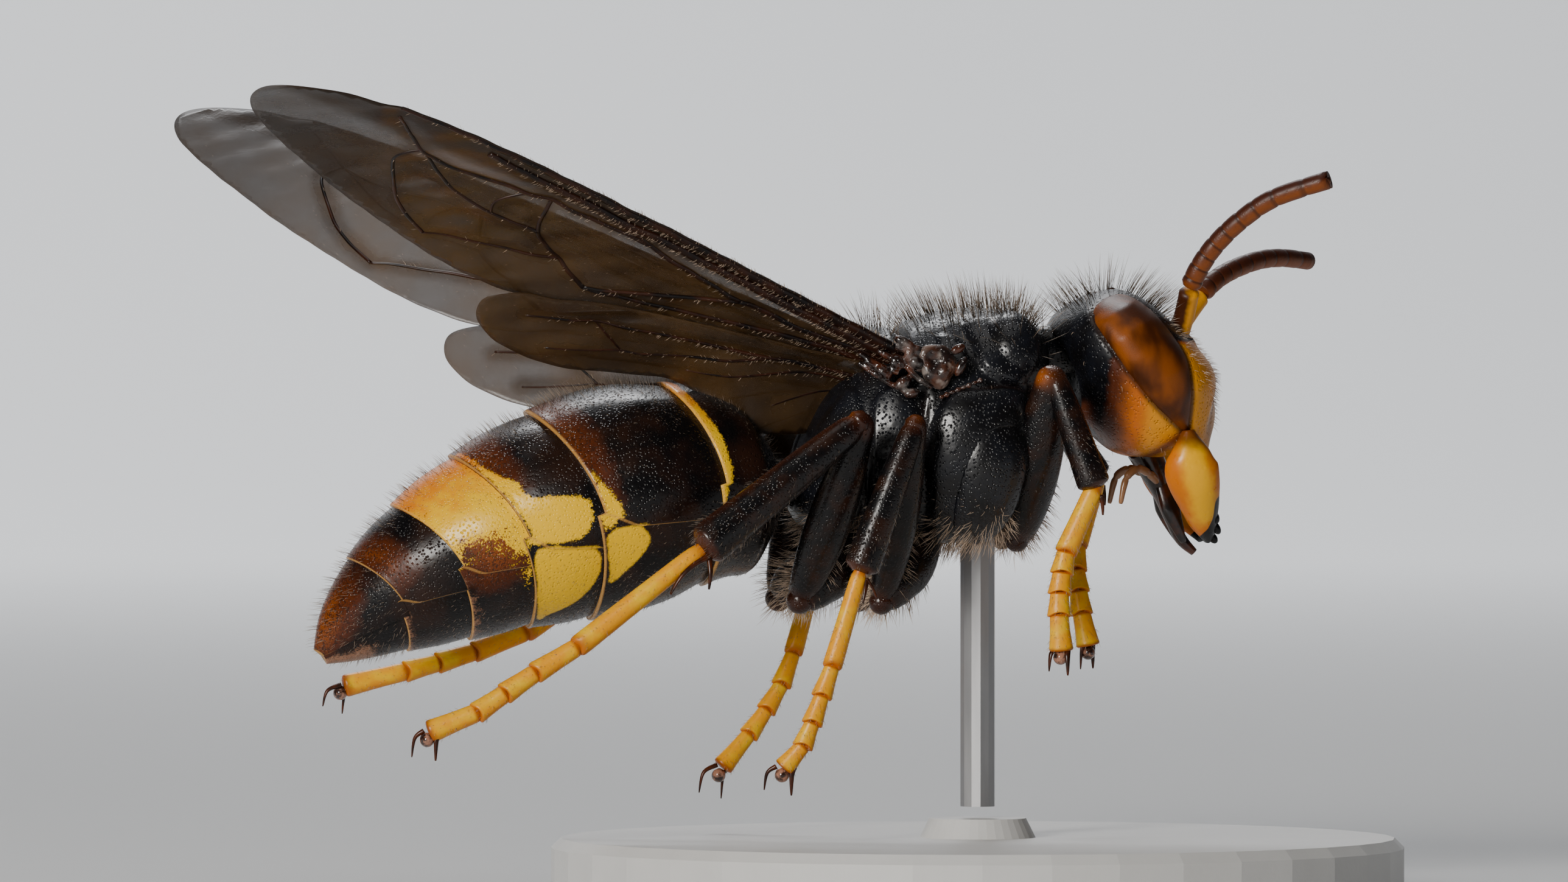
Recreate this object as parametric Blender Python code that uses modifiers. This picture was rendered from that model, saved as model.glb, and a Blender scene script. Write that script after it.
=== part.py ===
"""A yellow-legged hornet worker in flight, life size, held by a small display stand.

The body runs along X with its head at +X, its left side at +Y and its back at +Z.
Sizes and places are in millimetres from the middle of the thorax, and at() turns them
into metres from the middle of the underside of the stand.
"""

import math

import bmesh
import bpy
from mathutils import Matrix, Vector
from mathutils.geometry import delaunay_2d_cdt

MM = 0.001
GAP = 0.3                    # clear space between neighbouring pieces
WELD = 0.000001              # metres, closes the caps of a tube

# The stand
BASE_RADIUS = 11.0
BASE_THICKNESS = 1.6
BASE_BEVEL = 0.25
BASE_SIDES = 40
BOSS_RADIUS = 1.5
BOSS_HEIGHT = 0.5
ROD_RADIUS = 0.45
ROD_TOP = -1.5               # inside the thorax, before the rod is cut back from it
ROD_X = 0.9                  # the rod stands under this place on the thorax
LIFT = 12.2                  # from the floor to the middle of the thorax

# The head leans back from the face by this angle
HEAD_CENTRE = (5.2, 0.0, 1.4)
HEAD_TILT = math.radians(30.5)
HEAD_SIDES = 24
HEAD_SQUARING = 0.88         # below one, a section fills out towards a rounded square
# height, front, back and half width of the head's level sections
HEAD_SECTIONS = [
    (-2.62, 0.48, 0.10, 0.50),
    (-2.35, 0.74, -0.20, 1.00),
    (-2.00, 0.98, -0.98, 1.50),
    (-1.50, 1.28, -1.60, 1.98),
    (-0.90, 1.58, -1.88, 2.38),
    (-0.20, 1.52, -2.00, 2.66),
    (0.55, 1.30, -1.98, 2.80),
    (1.25, 1.10, -1.86, 2.74),
    (1.85, 0.80, -1.68, 2.42),
    (2.22, 0.46, -1.50, 1.84),
    (2.42, 0.02, -1.22, 0.95),
]
EYE_CENTRE = (0.16, 1.94, 0.40)
EYE_RADII = (0.86, 1.06, 1.98)
EYE_TURN = math.radians(24)
EYE_LOBE_CENTRE = (-0.14, 1.74, 1.20)
EYE_LOBE_RADII = (0.92, 0.98, 1.12)
SINUS_CENTRE = (1.12, 1.36, 0.60)
SINUS_RADII = (0.42, 0.42, 0.50)
OCELLUS_RADIUS = 0.24
OCELLI = [(0.34, 0.0, 2.20), (-0.06, -0.42, 2.30), (-0.06, 0.42, 2.30)]
NAPE_CENTRE = (-2.35, 0.0, 1.20)
NAPE_RADII = (1.15, 1.75, 1.35)
CLYPEUS_CENTRE = (6.44, 0.0, 0.35)
CLYPEUS_RADII = (0.68, 1.34, 1.12)

# Left-hand pieces of the head; the right ones are mirrored
MANDIBLE = [
    # along, out, up, half width, half thickness
    (6.08, 1.72, -0.20, 0.46, 0.36),
    (6.18, 1.78, -0.80, 0.62, 0.40),
    (6.36, 1.62, -1.45, 0.62, 0.38),
    (6.50, 1.22, -2.05, 0.50, 0.34),
    (6.62, 0.78, -2.55, 0.34, 0.28),
    (6.82, 0.42, -2.95, 0.14, 0.14),
]
JAW_SIDES = 10
TEETH = [(6.86, 0.96, -2.36), (7.00, 0.66, -2.68)]
TOOTH_RADIUS = 0.17
# along, out, up, radius
TONGUE = [
    (5.20, 0.0, -0.60, 0.62),
    (5.45, 0.0, -1.20, 0.60),
    (5.62, 0.0, -1.75, 0.48),
    (5.86, 0.0, -2.40, 0.38),
    (6.16, 0.0, -2.98, 0.32),
    (6.62, 0.0, -3.34, 0.20),
]
PALP = [
    (5.60, 0.25, -1.45, 0.26),
    (5.30, 0.50, -1.20, 0.26),
    (4.98, 0.66, -1.08, 0.25),
    (4.68, 0.76, -1.30, 0.24),
    (4.56, 0.80, -1.98, 0.15),
]
SCAPE = {
    "right": [(6.02, -0.62, 2.05), (6.16, -0.85, 2.75), (6.20, -1.38, 3.52)],
    "left": [(6.02, 0.62, 2.05), (6.42, 0.90, 2.70), (7.02, 1.32, 3.44)],
}
FLAGELLUM = {
    "right": [(6.22, -1.48, 3.66), (6.42, -1.62, 4.10), (6.80, -1.84, 4.68), (7.40, -2.16, 5.30),
              (8.20, -2.58, 5.86), (9.52, -3.20, 6.32)],
    "left": [(7.14, 1.42, 3.56), (7.52, 1.78, 3.84), (8.10, 2.32, 4.12), (8.90, 3.12, 4.36),
             (9.70, 3.98, 4.44), (10.62, 5.00, 4.38)],
}
SCAPE_RADIUS = 0.28
FLAGELLUM_RADIUS = 0.29
FLAGELLOMERES = 10
FLAGELLUM_TAPER = 0.14       # how much thinner the last joint is than the first

# The thorax, section by section from the collar to the waist
THORAX_SIDES = 24
THORAX_SQUARING = 0.92
THORAX_WIDEST = 0.46         # how high in a section its widest line lies
THORAX_SECTIONS = [
    # along, top, bottom, half width
    (2.34, 2.46, 1.36, 0.95),
    (2.12, 2.82, 0.60, 1.85),
    (1.68, 2.98, -0.90, 2.52),
    (1.10, 3.05, -2.35, 2.88),
    (0.30, 3.05, -2.95, 3.00),
    (-0.50, 2.88, -3.05, 3.00),
    (-1.10, 2.66, -3.05, 2.92),
    (-1.35, 2.48, -3.05, 2.88),
    (-1.60, 2.56, -3.05, 2.84),
    (-2.10, 2.30, -3.05, 2.70),
    (-2.70, 1.62, -3.00, 2.52),
    (-3.30, 0.74, -2.85, 2.16),
    (-3.78, -0.30, -2.50, 1.55),
    (-3.98, -0.95, -2.20, 0.85),
]
PLEURON_CENTRE = (0.75, 1.55, -0.90)
PLEURON_RADII = (1.35, 1.55, 1.85)
SHOULDER_CENTRE = (1.55, 1.55, 1.70)
SHOULDER_RADII = (0.95, 1.02, 1.10)
SCUTELLUM_CENTRE = (-1.98, 0.0, 1.98)
SCUTELLUM_RADII = (0.62, 1.25, 0.60)
TEGULA_CENTRE = (-0.20, 2.86, 1.55)
TEGULA_RADII = (0.86, 0.52, 0.58)
NECK = [(2.20, 0.0, 1.95), (2.80, 0.0, 1.98), (3.60, 0.0, 2.00)]
NECK_RADIUS = 0.62
WAIST = [(-3.70, 0.0, -1.60), (-4.40, 0.0, -1.62), (-5.10, 0.0, -1.62)]
WAIST_RADIUS = 0.48

# The gaster: where its axis runs, how steeply it falls, and its half height
GASTER_SIDES = 24
GASTER_WIDTH = 1.12          # half width over half height
GASTER_STATIONS = [
    # along, up, fall in degrees, half height
    (-4.46, -1.62, 4.0, 1.08),
    (-5.05, -1.56, 6.0, 1.98),
    (-5.55, -1.50, 8.5, 2.40),
    (-6.42, -1.44, 12.7, 2.62),
    (-8.10, -1.78, 15.5, 2.95),
    (-9.95, -2.32, 18.9, 2.86),
    (-11.71, -2.98, 26.5, 2.50),
    (-13.21, -3.76, 32.4, 2.08),
    (-14.57, -4.58, 36.0, 1.50),
    (-15.55, -5.36, 40.0, 0.86),
    (-16.12, -5.90, 42.0, 0.26),
]
# which stretch of the stations each segment takes
GASTER_SEGMENTS = [(0.0, 3.25), (3.25, 5.0), (5.0, 6.0), (6.0, 7.0), (7.0, 8.0), (8.0, 10.0)]
GASTER_RINGS = (6, 5, 4, 4, 4, 5)
MARGIN_SWEEP = 0.26          # how far a hind margin leads at the sides, over the half height
MARGIN_STEP = 0.96           # a segment starts this much narrower than the one before ends

# Wings: s runs out along the wing from its root and t back from its leading edge
WING_ROOT = (-1.37, 2.60, 1.94)
WING_SPAN = (-0.857, 0.411, 0.311)
WING_CHORD = (-0.509, -0.769, -0.386)
WING_TWIST = {
    "forewing_right": 0.0,
    "forewing_left": math.radians(-14),
    "hindwing_right": 0.0,
    "hindwing_left": math.radians(-15),
}
WING_LENGTH = 20.5
WING_THICKNESS = 0.5
WING_CAMBER = 0.12           # how far the middle of the span stands up
WING_DROOP = 0.25            # how far the tip hangs down
CHORD_ARCH = 0.03            # fall in mm at one mm from the arch's crest
CHORD_CREST = 1.0
MESH_SNAP = 0.02             # points of the outline this near count as one
MESH_WELD = 0.06
VEIN_HEIGHT = 0.15
VEIN_HALF_WIDTH = 0.24
FOREWING_EDGE = [
    (-1.1, 0.15), (0.8, -0.05), (3.3, -0.30), (5.8, -0.62), (8.4, -0.98), (11.0, -1.32), (13.4, -1.66),
    (15.6, -1.86), (17.4, -1.84), (18.9, -1.58), (20.0, -1.05), (20.5, -0.35), (20.2, 0.42), (19.2, 1.12),
    (17.5, 1.92), (15.6, 2.66), (13.6, 3.25), (11.8, 3.66), (10.4, 3.78), (9.0, 3.62), (7.3, 3.02),
    (5.4, 2.52), (3.3, 2.02), (1.4, 1.52), (0.2, 1.12), (-1.1, 1.05),
]
FOREWING_VEINS = {
    "radius": [(0.6, 0.42), (3.3, 0.20), (6.0, -0.14), (9.0, -0.56), (12.0, -0.94), (14.8, -1.24)],
    "stem": [(0.6, 0.80), (2.6, 0.98), (4.8, 0.78)],
    "basal": [(4.8, 0.78), (6.4, 0.44), (8.2, 0.02), (9.7, -0.62)],
    "sector": [(8.2, 0.02), (10.2, -0.06), (12.2, -0.12), (14.2, 0.04), (15.6, -0.34), (17.0, -1.36)],
    "cubital": [(4.8, 0.78), (6.4, 1.66), (8.3, 2.72)],
    "cross": [(8.3, 2.72), (9.5, 2.12), (10.8, 1.28), (11.4, -0.10)],
    "medial": [(10.8, 1.28), (12.4, 1.10), (13.8, 0.80), (15.6, -0.34)],
    "outer": [(9.5, 2.12), (11.5, 2.52), (13.2, 2.88)],
    "recurrent": [(13.2, 2.88), (14.5, 2.10), (15.4, 1.10), (15.9, 0.30), (15.6, -0.34)],
    "anal": [(0.8, 1.16), (3.4, 1.64), (6.0, 2.26), (8.3, 2.72)],
}
HINDWING_EDGE = [
    (-1.2, 1.36), (0.2, 1.44), (1.4, 1.86), (3.3, 2.36), (5.4, 2.86), (7.3, 3.36), (8.6, 3.92), (9.6, 4.10),
    (10.15, 4.36), (10.1, 4.80), (9.4, 5.25), (8.4, 5.48), (7.1, 5.42), (5.8, 5.00), (4.3, 4.24), (2.8, 3.32),
    (1.2, 2.40), (0.0, 2.06), (-1.2, 2.02),
]
HINDWING_VEINS = {
    "radius": [(0.4, 1.78), (2.6, 2.46), (5.0, 3.16), (7.2, 3.80), (8.9, 4.40)],
    "medial": [(2.6, 2.46), (4.4, 3.38), (6.0, 4.16), (7.8, 4.94)],
    "cross": [(7.2, 3.80), (6.0, 4.16)],
}

# Legs: places for the right (-1) or left (+1) side, given as along, out, up
LEG_PLACES = {
    "front_right": {
        "coxa": [(1.95, 0.85, -0.70), (1.90, 1.05, -1.75), (1.68, 1.40, -2.92)],
        "knee": (2.27, 3.45, 1.39),
        "ankle": (3.30, 3.70, -1.55),
        "tarsus": [(2.60, 3.45, -3.20), (2.50, 3.42, -3.72), (2.44, 3.40, -4.24), (2.43, 3.38, -4.80),
                   (2.50, 3.32, -5.74)],
        "claws": [(2.14, 3.30, -6.10), (2.66, 3.62, -6.22)],
    },
    "front_left": {
        "coxa": [(1.95, 0.85, -0.70), (1.90, 1.05, -1.75), (1.78, 1.40, -2.88)],
        "knee": (2.90, 3.50, 1.50),
        "ankle": (4.72, 3.70, -1.35),
        "tarsus": [(4.14, 3.55, -3.10), (4.10, 3.48, -3.74), (4.16, 3.44, -4.30), (4.24, 3.42, -4.88),
                   (4.42, 3.40, -5.76)],
        "claws": [(4.16, 3.28, -6.22), (4.62, 3.66, -6.20)],
    },
    "middle_right": {
        "coxa": [(-0.70, 0.85, -2.40), (-1.00, 1.20, -3.45), (-1.92, 1.90, -4.50)],
        "knee": (-1.38, 4.15, 0.15),
        "ankle": (-2.84, 4.35, -3.66),
        "tarsus": [(-3.55, 4.25, -6.08), (-3.81, 4.22, -6.82), (-4.05, 4.20, -7.50), (-4.28, 4.14, -8.08),
                   (-4.76, 4.02, -8.66)],
        "claws": [(-5.30, 3.86, -9.06), (-4.52, 4.18, -9.22)],
    },
    "middle_left": {
        "coxa": [(-0.70, 0.85, -2.40), (-1.00, 1.20, -3.45), (-1.92, 1.90, -4.50)],
        "knee": (-1.30, 4.15, 0.10),
        "ankle": (-2.55, 4.40, -3.40),
        "tarsus": [(-3.26, 4.30, -5.92), (-3.58, 4.24, -6.74), (-3.98, 4.22, -7.40), (-4.44, 4.18, -8.04),
                   (-5.18, 4.08, -8.90)],
        "claws": [(-5.86, 3.92, -9.40), (-5.12, 4.26, -9.60)],
    },
    "hind_right": {
        "coxa": [(-2.60, 0.85, -2.30), (-3.05, 1.20, -3.55), (-4.02, 1.85, -4.45)],
        "knee": (-2.75, 4.25, 0.18),
        "ankle": (-6.92, 4.75, -3.08),
        "tarsus": [(-10.11, 4.72, -5.56), (-11.15, 4.66, -6.20), (-11.92, 4.62, -6.72), (-12.62, 4.56, -7.20),
                   (-13.84, 4.42, -7.70)],
        "claws": [(-14.30, 4.26, -8.18), (-13.62, 4.58, -8.28)],
    },
    "hind_left": {
        "coxa": [(-2.60, 0.85, -2.30), (-3.05, 1.20, -3.55), (-4.02, 1.85, -4.45)],
        "knee": (-2.75, 4.25, 0.20),
        "ankle": (-6.90, 4.80, -3.05),
        "tarsus": [(-10.25, 4.78, -5.38), (-11.60, 4.74, -5.88), (-12.55, 4.70, -6.16), (-13.40, 4.66, -6.38),
                   (-15.06, 4.56, -6.76)],
        "claws": [(-15.66, 4.40, -7.12), (-15.02, 4.76, -7.36)],
    },
}
LEG_RADII = {
    # coxa, thickest femur, thickest tibia, basitarsus
    "front": (0.62, 0.56, 0.38, 0.33),
    "middle": (0.64, 0.43, 0.36, 0.28),
    "hind": (0.70, 0.57, 0.46, 0.31),
}
# part of the way along, radius over the limb's thickest
FEMUR_STATIONS = [(0.0, 0.55), (0.12, 0.80), (0.35, 1.0), (0.62, 0.96), (0.86, 0.78), (0.98, 0.62), (1.03, 0.34)]
FEMUR_BOW = 0.05
TIBIA_STATIONS = [(-0.01, 0.55), (0.10, 0.78), (0.40, 1.0), (0.75, 1.02), (0.97, 0.98), (1.0, 0.80)]
COXA_TAPER = (0.9, 1.0, 0.82, 0.5)
TARSOMERE_SLIM = 0.78        # radius at a foot joint's root over the leg's foot radius
TARSOMERE_WIDE = 1.12
SPUR_SPREAD = 0.62
SPUR_DROP = 0.10
SPUR_RADII = [0.22, 0.08]
CLAW_RADIUS = 0.17
CLAW_HOOK = 0.10
PAD_RADIUS = 0.26

COLLECTION = "hornet_model"
CUTTERS = "cutting_pieces"
SHELL_LIMIT = 1.5            # a sharp corner's room stands out at most this much further
rooms = {}                   # cutting pieces with the gap round each node, by its name

COLOURS = {
    "black_cuticle": ((0.020, 0.018, 0.020), 0.38),
    "face_orange": ((0.62, 0.24, 0.04), 0.45),
    "eye_brown": ((0.16, 0.045, 0.012), 0.18),
    "jaw_yellow": ((0.78, 0.40, 0.03), 0.35),
    "antenna_brown": ((0.22, 0.07, 0.02), 0.45),
    "gaster_black": ((0.028, 0.018, 0.014), 0.32),
    "gaster_orange": ((0.66, 0.30, 0.02), 0.35),
    "wing_smoke": ((0.16, 0.09, 0.035), 0.35),
    "leg_black": ((0.030, 0.022, 0.020), 0.30),
    "leg_yellow": ((0.80, 0.52, 0.06), 0.38),
    "stand_white": ((0.80, 0.80, 0.78), 0.45),
    "rod_steel": ((0.56, 0.56, 0.58), 0.30),
}
METALS = {"rod_steel"}


def at(along, out, up):
    """A place on the hornet, as metres from the middle of the stand's underside."""
    return Vector((along - ROD_X, out, up + LIFT)) * MM


def clear_scene():
    for obj in list(bpy.data.objects):
        bpy.data.objects.remove(obj, do_unlink=True)


def collection(name):
    found = bpy.data.collections.get(name)
    if found is None:
        found = bpy.data.collections.new(name)
        bpy.context.scene.collection.children.link(found)
    return found


def material(name):
    found = bpy.data.materials.get(name)
    if found is None:
        colour, roughness = COLOURS[name]
        found = bpy.data.materials.new(name)
        found.use_nodes = True
        shader = found.node_tree.nodes["Principled BSDF"]
        shader.inputs["Base Color"].default_value = (*colour, 1.0)
        shader.inputs["Roughness"].default_value = roughness
        shader.inputs["Metallic"].default_value = 1.0 if name in METALS else 0.0
    return found


def from_bmesh(name, shape):
    """A new object in the model's collection from a bmesh, with its faces pointing out."""
    bmesh.ops.recalc_face_normals(shape, faces=shape.faces)
    mesh = bpy.data.meshes.new(name)
    shape.to_mesh(mesh)
    shape.free()
    obj = bpy.data.objects.new(name, mesh)
    collection(COLLECTION).objects.link(obj)
    return obj


def evaluated_mesh(obj):
    bpy.context.view_layer.update()
    seen = obj.evaluated_get(bpy.context.evaluated_depsgraph_get())
    return bpy.data.meshes.new_from_object(seen)


def apply_modifiers(obj):
    old = obj.data
    mesh = evaluated_mesh(obj)
    obj.modifiers.clear()
    obj.data = mesh
    bpy.data.meshes.remove(old)


def remove(obj):
    data = obj.data
    bpy.data.objects.remove(obj, do_unlink=True)
    if isinstance(data, bpy.types.Mesh):
        bpy.data.meshes.remove(data)
    else:
        bpy.data.curves.remove(data)


def keep_largest(obj):
    """Drop every closed surface of the object but the one with the most volume."""
    shape = bmesh.new()
    shape.from_mesh(obj.data)
    left = set(shape.faces)
    islands = []
    while left:
        island = {left.pop()}
        to_visit = list(island)
        while to_visit:
            face = to_visit.pop()
            for edge in face.edges:
                for other in edge.link_faces:
                    if other in left:
                        left.remove(other)
                        island.add(other)
                        to_visit.append(other)
        islands.append(island)
    if len(islands) > 1:
        def volume(island):
            total = 0.0
            for face in island:
                corners = [v.co for v in face.verts]
                for i in range(1, len(corners) - 1):
                    total += corners[0].dot(corners[i].cross(corners[i + 1]))
            return abs(total)
        best = max(islands, key=volume)
        loose = [face for island in islands if island is not best for face in island]
        bmesh.ops.delete(shape, geom=loose, context="FACES")
        alone = [v for v in shape.verts if not v.link_faces]
        bmesh.ops.delete(shape, geom=alone, context="VERTS")
    shape.to_mesh(obj.data)
    shape.free()


def boolean(obj, pieces, operation):
    """Join pieces to an object, or cut them from it, and remove them."""
    tools = collection(CUTTERS)
    for piece in pieces:
        for owner in list(piece.users_collection):
            owner.objects.unlink(piece)
        tools.objects.link(piece)
        piece.hide_render = True
        piece.display_type = "WIRE"
    change = obj.modifiers.new(operation.lower(), "BOOLEAN")
    change.operation = operation
    change.operand_type = "COLLECTION"
    change.collection = tools
    change.solver = "EXACT"
    apply_modifiers(obj)
    for piece in pieces:
        remove(piece)
    keep_largest(obj)
    return obj


def join(obj, *pieces):
    return boolean(obj, pieces, "UNION")


def keep_room(node_name, *pieces):
    """Note the room that a node's plain pieces need, before they are joined or cut."""
    rooms.setdefault(node_name, []).extend(swollen(piece) for piece in pieces)


def swollen(obj):
    """A cutting piece like an object, whose faces all stand out by the gap."""
    shape = bmesh.new()
    shape.from_mesh(obj.data)
    bmesh.ops.triangulate(shape, faces=shape.faces)
    bmesh.ops.recalc_face_normals(shape, faces=shape.faces)
    shape.normal_update()
    moved = [v.co + v.normal * GAP * MM * min(v.calc_shell_factor(), SHELL_LIMIT) for v in shape.verts]
    for vertex, place in zip(shape.verts, moved):
        vertex.co = place
    room = from_bmesh(obj.name + "_room", shape)
    collection(COLLECTION).objects.unlink(room)
    return room


def cut_clear(obj, *node_names):
    """Cut an object back so that it keeps the gap to its neighbours."""
    for node_name in node_names:
        for room in rooms[node_name]:
            cutter = bpy.data.objects.new(room.name + "_cutter", room.data.copy())
            boolean(obj, [cutter], "DIFFERENCE")
    return obj


def finish_node(obj, material_name):
    """Give a node its material and smooth its round faces."""
    obj.data.materials.clear()
    obj.data.materials.append(material(material_name))
    obj.data.shade_smooth()
    obj.data.set_sharp_from_angle(angle=math.radians(35))
    return obj


def tube(name, points, radii, resolution=2):
    """A solid tube along places in millimetres, with a radius at each."""
    curve = bpy.data.curves.new(name, "CURVE")
    curve.dimensions = "3D"
    curve.bevel_depth = MM
    curve.bevel_resolution = resolution
    curve.use_fill_caps = True
    spline = curve.splines.new("POLY")
    spline.points.add(len(points) - 1)
    for knot, point, radius in zip(spline.points, points, radii):
        knot.co = (*at(*point), 1.0)
        knot.radius = radius
    wire = bpy.data.objects.new(name + "_path", curve)
    collection(COLLECTION).objects.link(wire)
    mesh = evaluated_mesh(wire)
    shape = bmesh.new()
    shape.from_mesh(mesh)
    bmesh.ops.remove_doubles(shape, verts=shape.verts, dist=WELD)
    bpy.data.meshes.remove(mesh)
    remove(wire)
    return from_bmesh(name, shape)


def loft(name, rings):
    """A closed solid through rings of places in metres, the end rings capped."""
    shape = bmesh.new()
    rows = [[shape.verts.new(place) for place in ring] for ring in rings]
    for low, high in zip(rows, rows[1:]):
        count = len(low)
        for i in range(count):
            after = (i + 1) % count
            shape.faces.new((low[i], low[after], high[after], high[i]))
    for row in (rows[0], rows[-1]):
        middle = shape.verts.new(sum((v.co for v in row), Vector()) / len(row))
        for i in range(len(row)):
            shape.faces.new((row[i], row[(i + 1) % len(row)], middle))
    return from_bmesh(name, shape)


def ellipsoid(name, centre, radii, turn=None, segments=16, rings=10):
    """A solid ellipsoid; centre is in metres, radii in millimetres."""
    shape = bmesh.new()
    bmesh.ops.create_uvsphere(shape, u_segments=segments, v_segments=rings, radius=MM)
    place = Matrix.Translation(centre) @ (turn or Matrix.Identity(4)) @ Matrix.Diagonal((*radii, 1.0))
    bmesh.ops.transform(shape, matrix=place, verts=shape.verts)
    return from_bmesh(name, shape)


def smooth_between(rows, s):
    """A row of values at place s along a table, smooth through every row."""
    i = min(int(s), len(rows) - 2)
    part = s - i
    before = rows[max(i - 1, 0)]
    after = rows[min(i + 2, len(rows) - 1)]
    values = []
    for a, b, c, d in zip(before, rows[i], rows[i + 1], after):
        values.append(0.5 * (2 * b + (c - a) * part + (2 * a - 5 * b + 4 * c - d) * part ** 2
                             + (3 * b - a - 3 * c + d) * part ** 3))
    return values


def side_sign(side):
    return -1.0 if side == "right" else 1.0


def mirrored(points, sign):
    return [(point[0], point[1] * sign, *point[2:]) for point in points]


def on_head(forward, out, up):
    """A place in the head's own tilted axes."""
    along = HEAD_CENTRE[0] + forward * math.cos(HEAD_TILT) - up * math.sin(HEAD_TILT)
    height = HEAD_CENTRE[2] + forward * math.sin(HEAD_TILT) + up * math.cos(HEAD_TILT)
    return at(along, out, height)


def head_turn(extra=0.0):
    return Matrix.Rotation(-HEAD_TILT, 4, "Y") @ Matrix.Rotation(extra, 4, "Z")


def make_head():
    rings = []
    for up, front, back, half_width in HEAD_SECTIONS:
        ring = []
        middle = (front + back) / 2
        reach = (front - back) / 2
        for i in range(HEAD_SIDES):
            angle = 2 * math.pi * i / HEAD_SIDES
            forward = middle + reach * squared(math.cos(angle), HEAD_SQUARING)
            out = half_width * squared(math.sin(angle), HEAD_SQUARING)
            ring.append(on_head(forward, out, up))
        rings.append(ring)
    head = loft("head", rings)
    nape = ellipsoid("nape", on_head(*NAPE_CENTRE), NAPE_RADII, head_turn(), 16, 10)
    boolean(head, [nape], "DIFFERENCE")
    added = [ellipsoid("clypeus", at(*CLYPEUS_CENTRE), CLYPEUS_RADII, None, 16, 10)]
    for place in OCELLI:
        added.append(ellipsoid("ocellus", on_head(*place), (OCELLUS_RADIUS,) * 3, None, 8, 5))
    keep_room("head", head, added[0])
    return join(head, *added)


def squared(value, power):
    """A sine or cosine drawn out towards a rounded square."""
    return math.copysign(abs(value) ** power, value)


def make_eye(side):
    sign = side_sign(side)
    turn = head_turn(-EYE_TURN * sign)
    centre = on_head(EYE_CENTRE[0], EYE_CENTRE[1] * sign, EYE_CENTRE[2])
    eye = ellipsoid(f"eye_{side}", centre, EYE_RADII, turn, 16, 12)
    lobe_at = on_head(EYE_LOBE_CENTRE[0], EYE_LOBE_CENTRE[1] * sign, EYE_LOBE_CENTRE[2])
    lobe = ellipsoid("eye_lobe", lobe_at, EYE_LOBE_RADII, turn, 16, 10)
    keep_room(eye.name, eye, lobe)
    join(eye, lobe)
    hollow_at = on_head(SINUS_CENTRE[0], SINUS_CENTRE[1] * sign, SINUS_CENTRE[2])
    hollow = ellipsoid("sinus", hollow_at, SINUS_RADII, head_turn(), 12, 8)
    return boolean(eye, [hollow], "DIFFERENCE")


def make_mandible(side):
    sign = side_sign(side)
    rings = []
    for i, (along, out, up, half_width, half_thickness) in enumerate(MANDIBLE):
        before = MANDIBLE[max(i - 1, 0)]
        after = MANDIBLE[min(i + 1, len(MANDIBLE) - 1)]
        down = Vector((after[0] - before[0], after[1] - before[1], after[2] - before[2])).normalized()
        across = Vector((1.0, 0.0, 0.0))
        across = (across - across.dot(down) * down).normalized()
        thick = down.cross(across)
        ring = []
        for k in range(JAW_SIDES):
            angle = 2 * math.pi * k / JAW_SIDES
            place = Vector((along, out, up)) + across * half_width * math.cos(angle)
            place += thick * half_thickness * math.sin(angle)
            ring.append(at(place.x, place.y * sign, place.z))
        rings.append(ring)
    jaw = loft(f"mandible_{side}", rings)
    keep_room(jaw.name, jaw)
    teeth = []
    for along, out, up in TEETH:
        teeth.append(ellipsoid("tooth", at(along, out * sign, up), (TOOTH_RADIUS,) * 3, None, 8, 5))
    return join(jaw, *teeth)


def make_mouthparts():
    tongue = tube("mouthparts", [row[:3] for row in TONGUE], [row[3] for row in TONGUE], 3)
    palps = []
    for sign in (-1.0, 1.0):
        route = mirrored([row[:3] for row in PALP], sign)
        palps.append(tube("palp", route, [row[3] for row in PALP], 1))
    return join(tongue, *palps)


def make_scape(side):
    radii = [SCAPE_RADIUS * 0.85, SCAPE_RADIUS, SCAPE_RADIUS * 0.95]
    scape = tube(f"scape_{side}", SCAPE[side], radii, 2)
    keep_room(scape.name, scape)
    return scape


def make_flagellum(side):
    """The feeler's whip: a short first piece, then joints that narrow between segments."""
    route = FLAGELLUM[side]
    last = len(route) - 1
    points = [smooth_between(route, 0.0)]
    radii = [FLAGELLUM_RADIUS * 0.72]
    for i in range(FLAGELLOMERES):
        for part, swell in ((0.30, 1.0), (0.96, 0.88)):
            points.append(smooth_between(route, (i + part) / FLAGELLOMERES * last))
            radii.append(FLAGELLUM_RADIUS * swell * (1.0 - FLAGELLUM_TAPER * i / FLAGELLOMERES))
    radii[-1] *= 0.5
    return tube(f"flagellum_{side}", points, radii, 2)


def section(along, top, bottom, half_width, sides, power):
    """A level section of the thorax, its widest line a little above its middle."""
    widest = bottom + (top - bottom) * THORAX_WIDEST
    ring = []
    for i in range(sides):
        angle = 2 * math.pi * i / sides
        up = squared(math.cos(angle), power)
        reach = (top - widest) if up > 0 else (widest - bottom)
        ring.append(at(along, half_width * squared(math.sin(angle), power), widest + reach * up))
    return ring


def make_thorax():
    rings = []
    for along, top, bottom, half_width in THORAX_SECTIONS:
        rings.append(section(along, top, bottom, half_width, THORAX_SIDES, THORAX_SQUARING))
    thorax = loft("thorax", rings)
    added = []
    for sign in (-1.0, 1.0):
        pleuron_at, shoulder_at = mirrored([PLEURON_CENTRE, SHOULDER_CENTRE], sign)
        added.append(ellipsoid("pleuron", at(*pleuron_at), PLEURON_RADII, None, 16, 10))
        added.append(ellipsoid("shoulder", at(*shoulder_at), SHOULDER_RADII, None, 14, 8))
    added.append(ellipsoid("scutellum", at(*SCUTELLUM_CENTRE), SCUTELLUM_RADII, None, 14, 8))
    keep_room("thorax", thorax, *added)
    return join(thorax, *added)


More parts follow.
